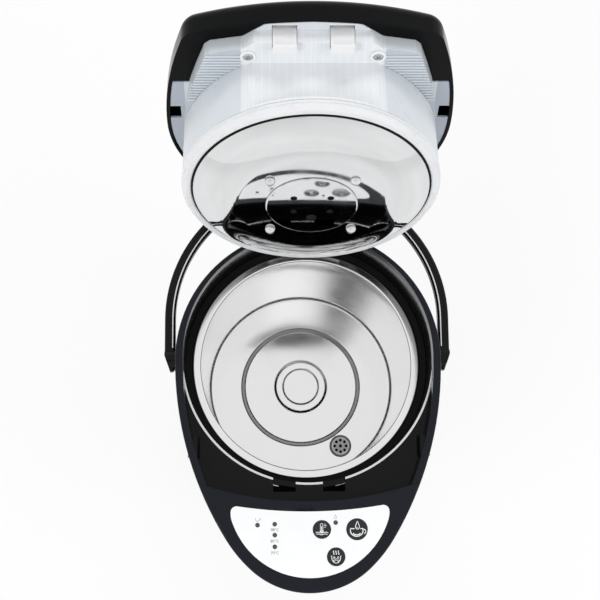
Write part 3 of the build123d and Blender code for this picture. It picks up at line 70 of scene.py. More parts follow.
class Amount:
    """A number, colour or vector that varies over a surface. Arithmetic on numbers adds Math nodes."""

    def __init__(self, finish, socket):
        self.finish = finish
        self.socket = socket

    def maths(self, operation, *terms):
        return self.finish.node("Math", {"operation": operation}, dict(enumerate(terms)))

    def __add__(self, other):
        return self.maths("ADD", self, other)

    def __radd__(self, other):
        return self.maths("ADD", other, self)

    def __sub__(self, other):
        return self.maths("SUBTRACT", self, other)

    def __rsub__(self, other):
        return self.maths("SUBTRACT", other, self)

    def __mul__(self, other):
        return self.maths("MULTIPLY", self, other)

    def __rmul__(self, other):
        return self.maths("MULTIPLY", other, self)

    def clamped(self):
        return self.maths("MINIMUM", self.maths("MAXIMUM", self, 0.0), 1.0)


class Finish:
    """A material in the making. Constants go on the shader's own sockets by name."""

    def __init__(self, name, **constants):
        self.material = bpy.data.materials.new(name)
        self.material.use_nodes = True
        self.tree = self.material.node_tree
        self.shader = self.tree.nodes["Principled BSDF"]
        for socket, value in constants.items():
            self.shader.inputs[socket.replace("_", " ")].default_value = value

    def node(self, kind, settings=None, inputs=None, output=0):
        """One node of that kind: its settings first, then the values or links of its sockets."""
        made = self.tree.nodes.new("ShaderNode" + kind)
        for name, value in (settings or {}).items():
            setattr(made, name, value)
        for socket, value in (inputs or {}).items():
            self.plug(made.inputs[socket], value)
        return Amount(self, made.outputs[output])

    def plug(self, socket, value):
        if isinstance(value, Amount):
            self.tree.links.new(value.socket, socket)
        else:
            socket.default_value = value

    def vary(self, **sockets):
        for name, value in sockets.items():
            self.plug(self.shader.inputs[name.replace("_", " ")], value)

    # places on the surface, in metres in the object's own frame

    def place(self):
        return self.node("TexCoord", output="Object")

    def lid_place(self):
        """The place on a lid piece as it would be with the lid closed."""
        turn = {"Center": HINGE * MM, "Angle": radians(LID_OPEN)}
        return self.node("VectorRotate", {"rotation_type": "X_AXIS"}, {"Vector": self.place(), **turn})

    def axes(self, place):
        split = self.node("SeparateXYZ", None, {"Vector": place})
        return [Amount(self, output) for output in split.socket.node.outputs]

    def stretched(self, place, scale):
        return self.node("Mapping", None, {"Vector": place, "Scale": scale})

    def round_place(self, place, across, along, around):
        """Distance from Z, height and angle, each scaled, for marks that a lathe leaves."""
        x, y, z = self.axes(place)
        radius = (x * x + y * y).maths("SQRT", x * x + y * y)
        angle = x.maths("ARCTAN2", y, x)
        return self.node("CombineXYZ", None, {"X": radius * across, "Y": angle * around, "Z": z * along})

    # patterns

    def noise(self, place, scale, detail=3.0, roughness=0.5, distortion=0.0):
        inputs = {"Vector": place, "Scale": scale, "Detail": detail, "Roughness": roughness}
        return self.node("TexNoise", None, {**inputs, "Distortion": distortion})

    def spread(self, value, low, high, to_low=0.0, to_high=1.0):
        """value from low..high brought to to_low..to_high, held at both ends."""
        limits = {"From Min": low, "From Max": high, "To Min": to_low, "To Max": to_high}
        return self.node("MapRange", None, {"Value": value, **limits})

    def blend(self, factor, first, second):
        return self.node("Mix", {"data_type": "RGBA"}, {0: factor, 6: first, 7: second}, output=2)

    def bump(self, height, strength, depth, under=None):
        inputs = {"Height": height, "Strength": strength, "Distance": depth}
        if under:
            inputs["Normal"] = under
        return self.node("Bump", None, inputs)


def grey(level, blue=0.0):
    """A neutral colour, a little cooler with blue."""
    return (level * (1 - blue), level * (1 - blue * 0.35), level * (1 + blue * 0.5), 1.0)


# ---------------------------------------------------------------- sizes shared with the solids

HINGE = Vector((0.0, 107.2, 289.6))
LID_OPEN = 110.3
POT_RADIUS = 85.5
POT_FLOOR = 70.0
POT_SHEET = 0.8
RIM = 245.0
RIM_RADIUS = 92.5
PLATE_RADIUS = 83.0
PLATE_EDGE = 243.6
PLATE_FLAT = 233.2
DOME_START = 51.5
SHEET_LEAN = 0.056  # how far the polished sheet leans forward in its seat, as a slope
DRUM_BOTTOM = 253.7
RING_RADIUS = 91.0
TRAY_FLOOR = 293.0
OUTLET = (37.0, -56.5)
SCREWS = ((43.2, -86.5), (-43.2, -86.5))
PANEL_TOP = 304.2
BUTTON_TOP = 304.6
BUTTONS = {
    "button_temperature": (8.7, -132.2),
    "button_dispense": (35.1, -132.3),
    "button_steam": (19.1, -152.4),
}
LID_OPENED = (
    Matrix.Translation(HINGE * MM)
    @ Matrix.Rotation(-radians(LID_OPEN), 4, "X")
    @ Matrix.Translation(-HINGE * MM)
)

# ---------------------------------------------------------------- finishes


def black_gloss(name="black_gloss", level=0.0025, shine=0.1, specular=0.08):
    """Injection-moulded black: a faint ripple from the tool, fine dust and rubbed patches."""
    finish = Finish(name, IOR=1.5, Specular_IOR_Level=specular)
    place = finish.place()
    rubbed = finish.noise(place, 9.0, 4.0, 0.6)
    dust = finish.spread(finish.noise(place, 900.0, 2.0, 0.6), 0.68, 0.76)
    tone = finish.blend(rubbed, grey(level * 0.8, 0.15), grey(level * 1.3, 0.15))
    ripple = finish.noise(place, 60.0, 1.0)
    finish.vary(
        Base_Color=finish.blend(dust * 0.04, tone, grey(0.3)),
        Roughness=finish.spread(rubbed, 0.3, 0.75, shine, shine + 0.08) + dust * 0.1,
        Normal=finish.bump(ripple, 0.03, 0.0006),
    )
    return finish.material


def collar_plastic():
    """The collar's black: satin grain on the faces that look up, mirror-smooth down in the well."""
    finish = Finish("collar_plastic", IOR=1.5, Specular_IOR_Level=0.17)
    place = finish.place()
    height = finish.axes(place)[2]
    smooth = finish.spread(height, 0.3026, 0.3018)
    rubbed = finish.noise(place, 11.0, 4.0, 0.6)
    grain = finish.node("TexVoronoi", None, {"Vector": place, "Scale": 2400.0})
    tone = finish.blend(rubbed, (0.0062, 0.0078, 0.0115, 1), (0.0092, 0.0112, 0.0155, 1))
    finish.vary(
        Base_Color=finish.blend(smooth, tone, grey(0.0025, 0.1)),
        Roughness=finish.spread(rubbed, 0.3, 0.75, 0.36, 0.44) - smooth * 0.29,
        Normal=finish.bump(grain * (1 - smooth), 0.12, 0.00012),
    )
    return finish.material


def black_satin(name="black_satin", level=0.012, grain=2600.0):
    """Spark-eroded grain on black plastic."""
    finish = Finish(name, IOR=1.5, Specular_IOR_Level=0.25)
    place = finish.place()
    cloud = finish.noise(place, 14.0, 4.0, 0.6)
    cells = finish.node("TexVoronoi", None, {"Vector": place, "Scale": grain})
    finish.vary(
        Base_Color=finish.blend(cloud, grey(level * 0.8, 0.1), grey(level * 1.3, 0.1)),
        Roughness=finish.spread(cloud, 0.3, 0.7, 0.38, 0.5),
        Normal=finish.bump(cells, 0.2, 0.00015),
    )
    return finish.material


def milky_plastic():
    """Translucent polypropylene: bluish as a single thin wall, whiter with walls behind it, with painted
    shadow darkening the gaps between the ribs.
    """
    finish = Finish("milky_plastic", Subsurface_Weight=0.15, Subsurface_Scale=0.002, IOR=1.49)
    finish.shader.inputs["Subsurface Radius"].default_value = (0.8, 0.9, 1.0)
    place = finish.lid_place()
    x, _, z = finish.axes(place)
    side = x.maths("ABSOLUTE", x)
    cloud = finish.noise(place, 38.0, 4.0, 0.55)
    flow = finish.noise(finish.stretched(place, (60, 20, 6)), 1.0, 3.0, 0.6)
    flange = finish.spread(z, 0.3034, 0.3037)
    wing = finish.spread(side, 0.0880, 0.0885) * flange
    middle = finish.spread(side, 0.0485, 0.0475)
    walls = finish.spread((side * 1150).maths("SINE", side * 1150), 0.75, 0.95) * middle
    # painted shadow: mask of the tray floor between the ribs, away from the middle
    gap = finish.spread(z, 0.2924, 0.2928) * finish.spread(z, 0.2934, 0.2931) * (1 - middle)
    backing = cloud * 0.25 + flow * 0.15 + middle * 0.6
    milk = finish.blend(backing, (0.64, 0.685, 0.73, 1), (0.82, 0.84, 0.86, 1))
    tray = finish.blend(walls * 0.3, milk, (0.92, 0.93, 0.94, 1))
    # painted shadow blended into the gaps between the ribs
    ribs_with_painted_shadow = finish.blend(gap * 0.75, tray, (0.44, 0.48, 0.53, 1))
    brim = finish.blend(flange * 0.8, ribs_with_painted_shadow, (0.66, 0.69, 0.73, 1))
    finish.vary(
        Base_Color=finish.blend(wing, brim, (0.44, 0.48, 0.54, 1)),
        Roughness=finish.spread(cloud, 0.3, 0.7, 0.26, 0.4),
        Normal=finish.bump(flow, 0.06, 0.0004),
    )
    return finish.material


def ring_plastic():
    """Satin off-white ring round the plate."""
    finish = Finish("ring_plastic", Subsurface_Weight=0.15, Subsurface_Scale=0.003, IOR=1.49)
    place = finish.place()
    cloud = finish.noise(place, 60.0, 3.0, 0.5)
    fine = finish.noise(place, 1800.0, 2.0, 0.5)
    finish.vary(
        Base_Color=finish.blend(cloud, grey(0.76, 0.025), grey(0.84, 0.025)),
        Roughness=finish.spread(cloud, 0.3, 0.7, 0.26, 0.36),
        Normal=finish.bump(fine, 0.06, 0.0001),
    )
    return finish.material


def white_plastic(name="white_plastic", level=0.86):
    finish = Finish(name, Subsurface_Weight=0.1, Subsurface_Scale=0.002, IOR=1.49)
    place = finish.place()
    cloud = finish.noise(place, 80.0, 3.0, 0.5)
    fine = finish.noise(place, 2200.0, 2.0, 0.5)
    finish.vary(
        Base_Color=finish.blend(cloud, grey(level * 0.96, 0.01), grey(level, 0.01)),
        Roughness=finish.spread(cloud, 0.3, 0.7, 0.34, 0.44),
        Normal=finish.bump(fine, 0.1, 0.0001),
    )
    return finish.material


def mirror_steel():
    """Polished sheet, spun about the lid's centre: hair-fine rings, soft bands and a few wipe marks."""
    finish = Finish("mirror_steel", Metallic=1.0)
    place = finish.lid_place()
    forward = finish.axes(place)[1]
    rings = finish.noise(finish.round_place(place, 2600.0, 0.0, 2.0), 1.0, 3.0, 0.6)
    bands = finish.noise(finish.round_place(place, 75.0, 0.0, 0.6), 1.0, 2.0, 0.5)
    wipes = finish.noise(finish.stretched(place, (70, 16, 70)), 1.0, 4.0, 0.6)
    tone = finish.spread(bands * 0.8 + wipes * 0.2, 0.3, 0.7)
    lean = finish.bump(forward * SHEET_LEAN, 1.0, 1.0)
    finish.vary(
        Base_Color=finish.blend(tone, grey(0.69, 0.01), grey(0.79, 0.01)),
        Roughness=finish.spread(wipes, 0.35, 0.75, 0.015, 0.05) + rings * 0.01,
        Normal=finish.bump(rings, 0.012, 0.00003, lean),
    )
    return finish.material


def pot_steel():
    """Drawn sheet, turned to a fine grain round the axis, with painted shade darkening the floor's groove,
    which is also rougher.
    """
    finish = Finish("pot_steel", Metallic=1.0, Anisotropic=0.4)
    place = finish.place()
    height = finish.axes(place)[2]
    flat_place = finish.stretched(place, (1, 1, 0))
    radius = finish.node("VectorMath", {"operation": "LENGTH"}, {0: flat_place}, output=1)
    # painted shade: mask of the floor's groove, darkened in the base colour and made rougher
    groove = finish.spread(radius, 0.0526, 0.0531) * finish.spread(radius, 0.0562, 0.0557)
    groove = groove * finish.spread(height, 0.0698, 0.0694)
    hair = finish.noise(finish.round_place(place, 3600.0, 3200.0, 1.2), 1.0, 3.0, 0.65)
    scuffs = finish.noise(finish.round_place(place, 60.0, 40.0, 3.0), 1.0, 4.0, 0.6)
    clouds = finish.noise(finish.round_place(place, 14.0, 9.0, 1.2), 1.0, 2.0, 0.5)
    tone = finish.blend(hair * 0.6 + scuffs * 0.4, grey(0.87, 0.0), grey(0.97, 0.0))
    finish.vary(
        Base_Color=finish.blend(groove * 0.85, tone, grey(0.24, 0.0)),
        Roughness=finish.spread(scuffs * 0.5 + clouds * 0.5, 0.35, 0.65, 0.07, 0.15) + groove * 0.2,
        Normal=finish.bump(hair, 0.045, 0.00005),
    )
    return finish.material


def sleeve_steel():
    """Brushed round the body: hair-fine lines among broader strands."""
    finish = Finish("sleeve_steel", Metallic=1.0)
    place = finish.place()
    hair = finish.noise(finish.round_place(place, 0.0, 5200.0, 2.5), 1.0, 4.0, 0.7)
    strands = finish.noise(finish.round_place(place, 0.0, 700.0, 1.2), 1.0, 3.0, 0.6)
    cloud = finish.noise(place, 12.0, 3.0, 0.5)
    tone = finish.spread(hair * 0.5 + strands * 0.35 + cloud * 0.15, 0.3, 0.7)
    finish.vary(
        Base_Color=finish.blend(tone, grey(0.34), grey(0.62)),
        Roughness=finish.spread(hair, 0.3, 0.7, 0.24, 0.38),
        Normal=finish.bump(hair, 0.2, 0.00008),
    )
    return finish.material


def plated_steel(name="plated_steel", low=0.5, high=0.68):
    finish = Finish(name, Metallic=1.0)
    place = finish.place()
    cloud = finish.noise(place, 260.0, 4.0, 0.6)
    finish.vary(
        Base_Color=finish.blend(cloud, grey(low), grey(high)),
        Roughness=finish.spread(cloud, 0.3, 0.7, 0.2, 0.38),
        Normal=finish.bump(cloud, 0.1, 0.0001),
    )
    return finish.material


def cast_metal():
    finish = Finish("cast_metal", Metallic=1.0)
    place = finish.place()
    lumps = finish.noise(place, 420.0, 5.0, 0.65)
    finish.vary(
        Base_Color=finish.blend(lumps, grey(0.42), grey(0.62)),
        Roughness=finish.spread(lumps, 0.3, 0.7, 0.4, 0.6),
        Normal=finish.bump(lumps, 0.4, 0.0003),
    )
    return finish.material


def strainer_steel():
    """Pressed sheet, darker at its skirt, with a painted highlight as a bright ring on the step round the
    holed middle.
    """
    finish = Finish("strainer_steel", Metallic=1.0)
    place = finish.place()
    x, y, _ = finish.axes(place)
    across, along = x - OUTLET[0] * MM, y - OUTLET[1] * MM
    square = across * across + along * along
    radius = square.maths("SQRT", square)
    # painted highlight: mask of a bright ring on the step round the holed middle
    step = finish.spread(radius, 0.0072, 0.0075) * finish.spread(radius, 0.0081, 0.0078)
    skirt = finish.spread(radius, 0.0076, 0.0082)
    pits = finish.noise(place, 900.0, 3.0, 0.6)
    dull = finish.noise(place, 250.0, 2.0, 0.5)
    sheet = finish.blend(skirt, grey(0.32, 0.0), grey(0.12, 0.02))
    finish.vary(
        # the step's painted highlight blended into the colour
        Base_Color=finish.blend(step * 0.8 + dull * 0.15, sheet, grey(0.72, 0.0)),
        Roughness=finish.spread(dull, 0.3, 0.7, 0.22, 0.38),
        Normal=finish.bump(pits, 0.1, 0.00008),
    )
    return finish.material


def rubber(name, low, high, specular=0.5):
    finish = Finish(name, Specular_IOR_Level=specular)
    place = finish.place()
    cloud = finish.noise(place, 35.0, 4.0, 0.6)
    fine = finish.noise(place, 1500.0, 2.0, 0.5)
    finish.vary(
        Base_Color=finish.blend(cloud, grey(low, 0.05), grey(high, 0.05)),
        Roughness=finish.spread(cloud, 0.3, 0.7, 0.48, 0.68),
        Normal=finish.bump(fine, 0.2, 0.00015),
    )
    return finish.material


def clear_plastic():
    finish = Finish("clear_plastic", Transmission_Weight=0.9, IOR=1.49)
    place = finish.place()
    cloud = finish.noise(place, 60.0, 3.0, 0.5)
    finish.vary(
        Base_Color=finish.blend(cloud, (0.80, 0.87, 0.89, 1), (0.90, 0.95, 0.96, 1)),
        Roughness=finish.spread(cloud, 0.3, 0.7, 0.06, 0.14),
        Normal=finish.bump(cloud, 0.03, 0.0002),
    )
    return finish.material


def lacquered_board():
    finish = Finish("lacquered_board")
    place = finish.place()
    cells = finish.node("TexVoronoi", {"distance": "CHEBYCHEV"}, {"Vector": place, "Scale": 340.0})
    cloud = finish.noise(place, 90.0, 3.0, 0.5)
    tracks = finish.spread(cells, 0.42, 0.5)
    finish.vary(
        Base_Color=finish.blend(tracks, (0.015, 0.11, 0.05, 1), (0.05, 0.26, 0.12, 1)),
        Roughness=finish.spread(cloud, 0.3, 0.7, 0.3, 0.45),
        Normal=finish.bump(tracks, 0.2, 0.0001),
    )
    return finish.material


def soft_felt():
    finish = Finish("soft_felt", Sheen_Weight=0.3)
    place = finish.place()
    fibre = finish.noise(finish.stretched(place, (900, 900, 300)), 1.0, 6.0, 0.7, 0.8)
    finish.vary(
        Base_Color=finish.blend(fibre, grey(0.45), grey(0.75)),
        Roughness=finish.spread(fibre, 0.3, 0.7, 0.8, 0.95),
        Normal=finish.bump(fibre, 0.6, 0.0006),
    )
    return finish.material


def mica_sheet():
    finish = Finish("mica_sheet", Coat_Weight=0.3)
    place = finish.place()
    flakes = finish.node("TexVoronoi", None, {"Vector": place, "Scale": 260.0})
    finish.vary(
        Base_Color=finish.blend(flakes, (0.34, 0.26, 0.15, 1), (0.62, 0.52, 0.36, 1)),
        Roughness=finish.spread(flakes, 0.0, 1.0, 0.3, 0.6),
        Normal=finish.bump(flakes, 0.2, 0.0002),
    )
    return finish.material


def brass():
    finish = Finish("bare_brass", Metallic=1.0)
    cloud = finish.noise(finish.place(), 300.0, 4.0, 0.6)
    finish.vary(
        Base_Color=finish.blend(cloud, (0.55, 0.40, 0.16, 1), (0.80, 0.62, 0.30, 1)),
        Roughness=finish.spread(cloud, 0.3, 0.7, 0.22, 0.4),
    )
    return finish.material


def label_film():
    """Bright white printed film with the faintest matt texture."""
    finish = Finish("label_film", Coat_Weight=0.3, Coat_Roughness=0.15)
    place = finish.place()
    cloud = finish.noise(place, 50.0, 3.0, 0.5)
    fine = finish.noise(place, 3200.0, 2.0, 0.5)
    finish.vary(
        Base_Color=finish.blend(cloud, grey(0.88, 0.01), grey(0.93, 0.01)),
        Roughness=finish.spread(cloud, 0.3, 0.7, 0.3, 0.4),
        Normal=finish.bump(fine, 0.08, 0.00006),
    )
    return finish.material


def ink(name, level, blue=0.0):
    finish = Finish(name)
    speckle = finish.noise(finish.place(), 2500.0, 2.0, 0.6)
    finish.vary(
        Base_Color=finish.blend(speckle, grey(level * 0.9, blue), grey(level * 1.05, blue)),
        Roughness=finish.spread(speckle, 0.3, 0.7, 0.42, 0.55),
    )
    return finish.material


def light_lens():
    """Unlit smoky lens of an indicator."""
    finish = Finish("light_lens", Coat_Weight=0.6, Coat_Roughness=0.05)
    place = finish.place()
    cloud = finish.noise(place, 900.0, 3.0, 0.5)
    finish.vary(
        Base_Color=finish.blend(cloud, grey(0.035), grey(0.07)),
        Roughness=finish.spread(cloud, 0.3, 0.7, 0.15, 0.25),
    )
    return finish.material


FINISHES = {
    black_gloss(): ["lid_shell", "base_housing", "front_column", "lid_lever", "pump_plate", "handle_pivots"],
    black_gloss("black_handle", 0.003, 0.1, 0.18): ["handle"],
    black_gloss("black_buttons", 0.02, 0.25, 0.3): ["button_temperature", "button_dispense", "button_steam"],
    collar_plastic(): ["collar"],
    black_satin(): [
        "beak_cover", "turntable", "table_retainer", "inlet_socket", "spout_nozzle", "steam_cover",
        "tact_switches",
    ],
    milky_plastic(): ["lid_liner", "steam_tube"],
    ring_plastic(): ["lid_ring"],
    white_plastic(): ["latch_slider", "pump_housing", "impeller", "pump_cover", "thermostat", "tip_valve"],
    mirror_steel(): ["lid_plate", "plate_cap", "plate_studs"],
    pot_steel(): ["inner_pot"],
    sleeve_steel(): ["outer_sleeve"],
    plated_steel(): [
        "tie_rods", "pump_motor", "outlet_fitting", "temperature_probe", "tip_ball", "hinge_pin",
        "pump_spring", "lid_screws",
    ],
    strainer_steel(): ["pot_strainer"],
    cast_metal(): ["heater_plate", "drive_magnet"],
    rubber("silicone", 0.6, 0.72): ["inlet_hose", "discharge_hose", "outlet_elbow", "air_valve"],
    rubber("black_rubber", 0.006, 0.012, 0.15): ["rubber_pad", "bellows", "lid_seal", "rim_seal"],
    clear_plastic(): ["level_window", "sight_tube"],
    lacquered_board(): ["power_board", "control_board"],
    soft_felt(): ["insulation_jacket"],
    mica_sheet(): ["warming_band"],
    brass(): ["inlet_pins"],
    label_film(): ["panel_overlay"],
    light_lens(): ["light_pipes"],
    black_gloss("wet_black", 0.003, 0.06, 0.5): [],
    # painted highlight: bright plated metal for thin lines that stand in for light caught on edges
    plated_steel("painted_highlight_metal", 0.78, 0.9): [],
    ink("white_ink", 0.85): [],
    ink("grey_ink", 0.11, 0.1): [],
}
MATERIALS = {material.name.partition(".")[0]: material for material in FINISHES}

for material, names in FINISHES.items():
    for name in names:
        mesh = nodes[name].data
        mesh.materials.clear()
        mesh.materials.append(material)

# ---------------------------------------------------------------- making pieces

FINE = 384  # steps round a piece that is turned finely
SHARP_ANGLE = 32.0  # degrees between two faces from which their edge stays sharp


def taken(shape, name):
    """The worked shape as a mesh of that name; the shape is freed."""
    mesh = bpy.data.meshes.new(name)
    shape.to_mesh(mesh)
    shape.free()
    return mesh


def link(name, mesh, body, finish, place=None):
    """A new piece from a mesh in metres: on that body, in that finish, smooth but for its sharp edges."""
    mesh.name = name
    if place:
        mesh.transform(place)
    mesh.materials.clear()
    mesh.materials.append(MATERIALS[finish])
    for face in mesh.polygons:
        face.use_smooth = True
    mesh.set_sharp_from_angle(angle=radians(SHARP_ANGLE))
    piece = bpy.data.objects.new(name, mesh)
    bpy.context.scene.collection.objects.link(piece)
    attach(piece, body)
    return piece


def swung(centre, start, end, steps):
    """Points from start to end round the centre, the short way."""
    arm, last = start - centre, end - centre
    sweep = atan2(arm.cross(last), arm.dot(last))
    return [centre + Matrix.Rotation(sweep * step / steps, 2) @ arm for step in range(steps + 1)]


def rounded(points, steps=6):
    """Points (r, z, radius) with each corner of non-zero radius turned into an arc, as (r, z) points."""
    path = []
    for index, (r, z, radius) in enumerate(points):
        here = Vector((r, z))
        if not radius:
            path.append(here)
            continue
        before = Vector(points[index - 1][:2])
        after = Vector(points[(index + 1) % len(points)][:2])
        back, on = (before - here).normalized(), (after - here).normalized()
        half = back.angle(on) / 2
        reach = radius * cos(half) / sin(half)
        centre = here + (back + on).normalized() * radius / sin(half)
        path += swung(centre, here + back * reach, here + on * reach, steps)
    return path


def supported(points, closed, near=0.35):
    """The points with one more near each end of a long straight stretch, to keep it flat when smooth."""
    path = [Vector(point) for point in points]
    result = []
    for index, here in enumerate(path):
        result.append(here)
        if index == len(path) - 1 and not closed:
            continue
        span = path[(index + 1) % len(path)] - here
        if span.length > 4 * near:
            step = span.normalized() * near
            result += [here + step, here + span - step]
    return result


def lathe(points, turns=256, closed=True):
    """Mesh of (r, z) points in mm, turned round Z. A point with r = 0 is one vertex on the axis."""
    shape = bmesh.new()
    rings = []
    for r, z in supported(points, closed):
        if r < 1e-6:
            rings.append([shape.verts.new((0, 0, z * MM))])
            continue
        angles = [2 * pi * turn / turns for turn in range(turns)]
        rings.append([shape.verts.new((r * MM * cos(a), r * MM * sin(a), z * MM)) for a in angles])
    pairs = list(zip(rings, rings[1:] + rings[:1])) if closed else list(zip(rings, rings[1:]))
    for low, high in pairs:
        for turn in range(turns):
            on = (turn + 1) % turns
            corners = [
                low[turn % len(low)], low[on % len(low)], high[on % len(high)], high[turn % len(high)],
            ]
            face = list(dict.fromkeys(corners))
            if len(face) > 2:
                shape.faces.new(face)
    bmesh.ops.recalc_face_normals(shape, faces=shape.faces)
    return taken(shape, "lathe")


# ---------------------------------------------------------------- steel and rings, turned finely


def cut(mesh, cutters):
    """The mesh with the closed cutter meshes taken away."""
    body = bpy.data.objects.new("body", mesh)
    bpy.context.scene.collection.objects.link(body)
    tools = []
    for cutter in cutters:
        tool = bpy.data.objects.new("cutter", cutter)
        bpy.context.scene.collection.objects.link(tool)
        tools.append(tool)
        trim = body.modifiers.new("cut", "BOOLEAN")
        trim.operation = "DIFFERENCE"
        trim.object = tool
        trim.solver = "EXACT"
    bpy.context.view_layer.update()
    seen = body.evaluated_get(bpy.context.evaluated_depsgraph_get())
    result = bpy.data.meshes.new_from_object(seen)
    for spare in [body, *tools]:
        bpy.data.objects.remove(spare)
    return result


def block(size, place):
    """A closed box of that size in millimetres at that place, used as a cutter."""
    shape = bmesh.new()
    stretch = Matrix.Diagonal([side * MM for side in size] + [1])
    bmesh.ops.create_cube(shape, size=1.0, matrix=place @ stretch)
    return taken(shape, "block")


def drum(centre, radius, low, high, turns=48):
    """A closed upright cylinder, used as a cutter."""
    mesh = lathe([(0, low), (radius, low), (radius, high), (0, high)], turns, closed=False)
    mesh.transform(Matrix.Translation((centre[0] * MM, centre[1] * MM, 0)))
    return mesh


def pot_profile():
    """Half section of the pot's sheet: up the inside, over the rim, down the outside."""
    wall, rim = POT_RADIUS, RIM_RADIUS
    floor, sheet = POT_FLOOR, POT_SHEET
    inside = [
        (0, floor + 0.9, 0), (15.8, floor + 0.9, 1.2), (17.6, floor + 2.2, 1.2), (22.8, floor + 2.2, 1.4),
        (25.2, floor, 1.2), (52.2, floor, 0.5), (53.4, floor - 1, 0.9), (55.4, floor - 1, 0.9),
        (56.6, floor, 0.5), (wall, floor, 2.0), (wall, RIM, 1.4), (rim, RIM, 1.2), (rim, RIM - 4.2, 0.25),
    ]
    outside = [
        (rim - sheet, RIM - 4.2, 0.25), (rim - sheet, RIM - sheet, 0.4), (wall + sheet, RIM - sheet, 0.6),
        (wall + sheet, floor - sheet, 2.8), (57.0, floor - sheet, 0), (55.6, floor - 1 - sheet, 0),
        (53.2, floor - 1 - sheet, 0), (51.8, floor - sheet, 0), (24.8, floor - sheet, 0),
        (22.4, floor + 2.2 - sheet, 0), (18.0, floor + 2.2 - sheet, 0), (16.2, floor + 0.9 - sheet, 0),
        (0, floor + 0.9 - sheet, 0),
    ]
    return rounded(inside + outside)


def turn_pot():
    """The pot with its outlet, and a black disc of painted shade on the floor under the strainer, so that
    its holes look dark.
    """
    outlet = drum(OUTLET, 6.6, POT_FLOOR - 3, POT_FLOOR + 3)
    sheet = cut(lathe(pot_profile(), FINE, closed=False), [outlet])
    pot = link("turned_pot", sheet, "body", "pot_steel")
    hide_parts("inner_pot")
    # painted shade: a thin black disc under the strainer that darkens its holes
    low, high = POT_FLOOR + 0.04, POT_FLOOR + 0.26
    points = [(0, low), (9.6, low), (9.8, low + 0.08), (9.8, high - 0.06), (8.2, high), (0, high)]
    shade_disc = lathe(points, 96, closed=False)
    shade_disc.transform(Matrix.Translation((OUTLET[0] * MM, OUTLET[1] * MM, 0)))
    link("strainer_shade_disc", shade_disc, "body", "black_rubber")


def dome(start, middle, end, steps=20):
    """Points of the arc through three (r, z) points."""
    (ax, ay), (bx, by), (cx, cy) = start, middle, end
    twice = 2 * (ax * (by - cy) + bx * (cy - ay) + cx * (ay - by))
    first, second, third = ax * ax + ay * ay, bx * bx + by * by, cx * cx + cy * cy
    centre = Vector((
        (first * (by - cy) + second * (cy - ay) + third * (ay - by)) / twice,
        (first * (cx - bx) + second * (ax - cx) + third * (bx - ax)) / twice,
    ))
    return swung(centre, Vector(start), Vector(end), steps)


def turn_plate():
    """The lid's polished plate: flat middle, bulging shoulder, turned-up edge. A black rubber seal under its
    cap, which also puts painted shade in the cap's holes.
    """
    rise = PLATE_FLAT + 0.33 * (PLATE_EDGE - PLATE_FLAT)
    edge = (PLATE_RADIUS - 1.4, PLATE_EDGE)
    under = dome((DOME_START, PLATE_FLAT), (PLATE_RADIUS - 14, rise), edge)
    rim = rounded([
        (*edge, 0), (PLATE_RADIUS, PLATE_EDGE + 1.4, 0.9), (PLATE_RADIUS, DRUM_BOTTOM - 0.9, 0.3),
        (PLATE_RADIUS - 0.9, DRUM_BOTTOM - 0.9, 0.3), (PLATE_RADIUS - 0.9, PLATE_EDGE + 3.2, 0),
    ])
    over = dome(
        (DOME_START, PLATE_FLAT + 0.8), (PLATE_RADIUS - 14.2, rise + 0.9), (edge[0] - 0.8, PLATE_EDGE + 0.9)
    )
    flat = [(0, PLATE_FLAT), (DOME_START - 2, PLATE_FLAT)]
    points = [*flat, *under, *rim[1:], *reversed(over), (0, PLATE_FLAT + 0.8)]
    plate = link("spun_plate", lathe(points, FINE, closed=False), "lid", "mirror_steel", LID_OPENED)
    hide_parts("lid_plate")
    # black rubber seal under the cap, also there as painted shade that darkens the cap's holes
    web, lip, seat = PLATE_FLAT - 0.12, PLATE_FLAT - 0.25, PLATE_FLAT - 0.03
    points = [(0, web), (28.4, web), (28.7, lip), (29.7, lip), (30, lip + 0.06), (30, seat), (0, seat)]
    gasket_and_shade = link("cap_gasket_and_shade", lathe(points, 96, closed=False), "lid", "black_rubber", LID_OPENED)


def turn_ring():
    """The off-white ring round the plate, with a groove round its outer wall."""
    inner, outer, foot = PLATE_RADIUS + 1.4, RING_RADIUS, RIM + 0.4
    points = rounded([
        (inner, RIM + 1.2, 0.3), (inner + 0.8, foot, 0.4), (outer - 2.3, foot, 1.6), (outer, RIM + 3.4, 1.6),
        (outer, RIM + 5.0, 0.2), (outer - 0.5, RIM + 5.2, 0.15), (outer - 0.5, RIM + 5.9, 0.15),
        (outer, RIM + 6.1, 0.2), (outer, DRUM_BOTTOM - 0.8, 0.4), (outer - 0.8, DRUM_BOTTOM - 0.3, 0.2),
        (inner, DRUM_BOTTOM - 0.3, 0.2),
    ])
    ring = link("plate_ring", lathe(points, FINE), "lid", "ring_plastic", LID_OPENED)
    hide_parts("lid_ring")


turn_pot()
turn_plate()
turn_ring()

# ---------------------------------------------------------------- liner screws


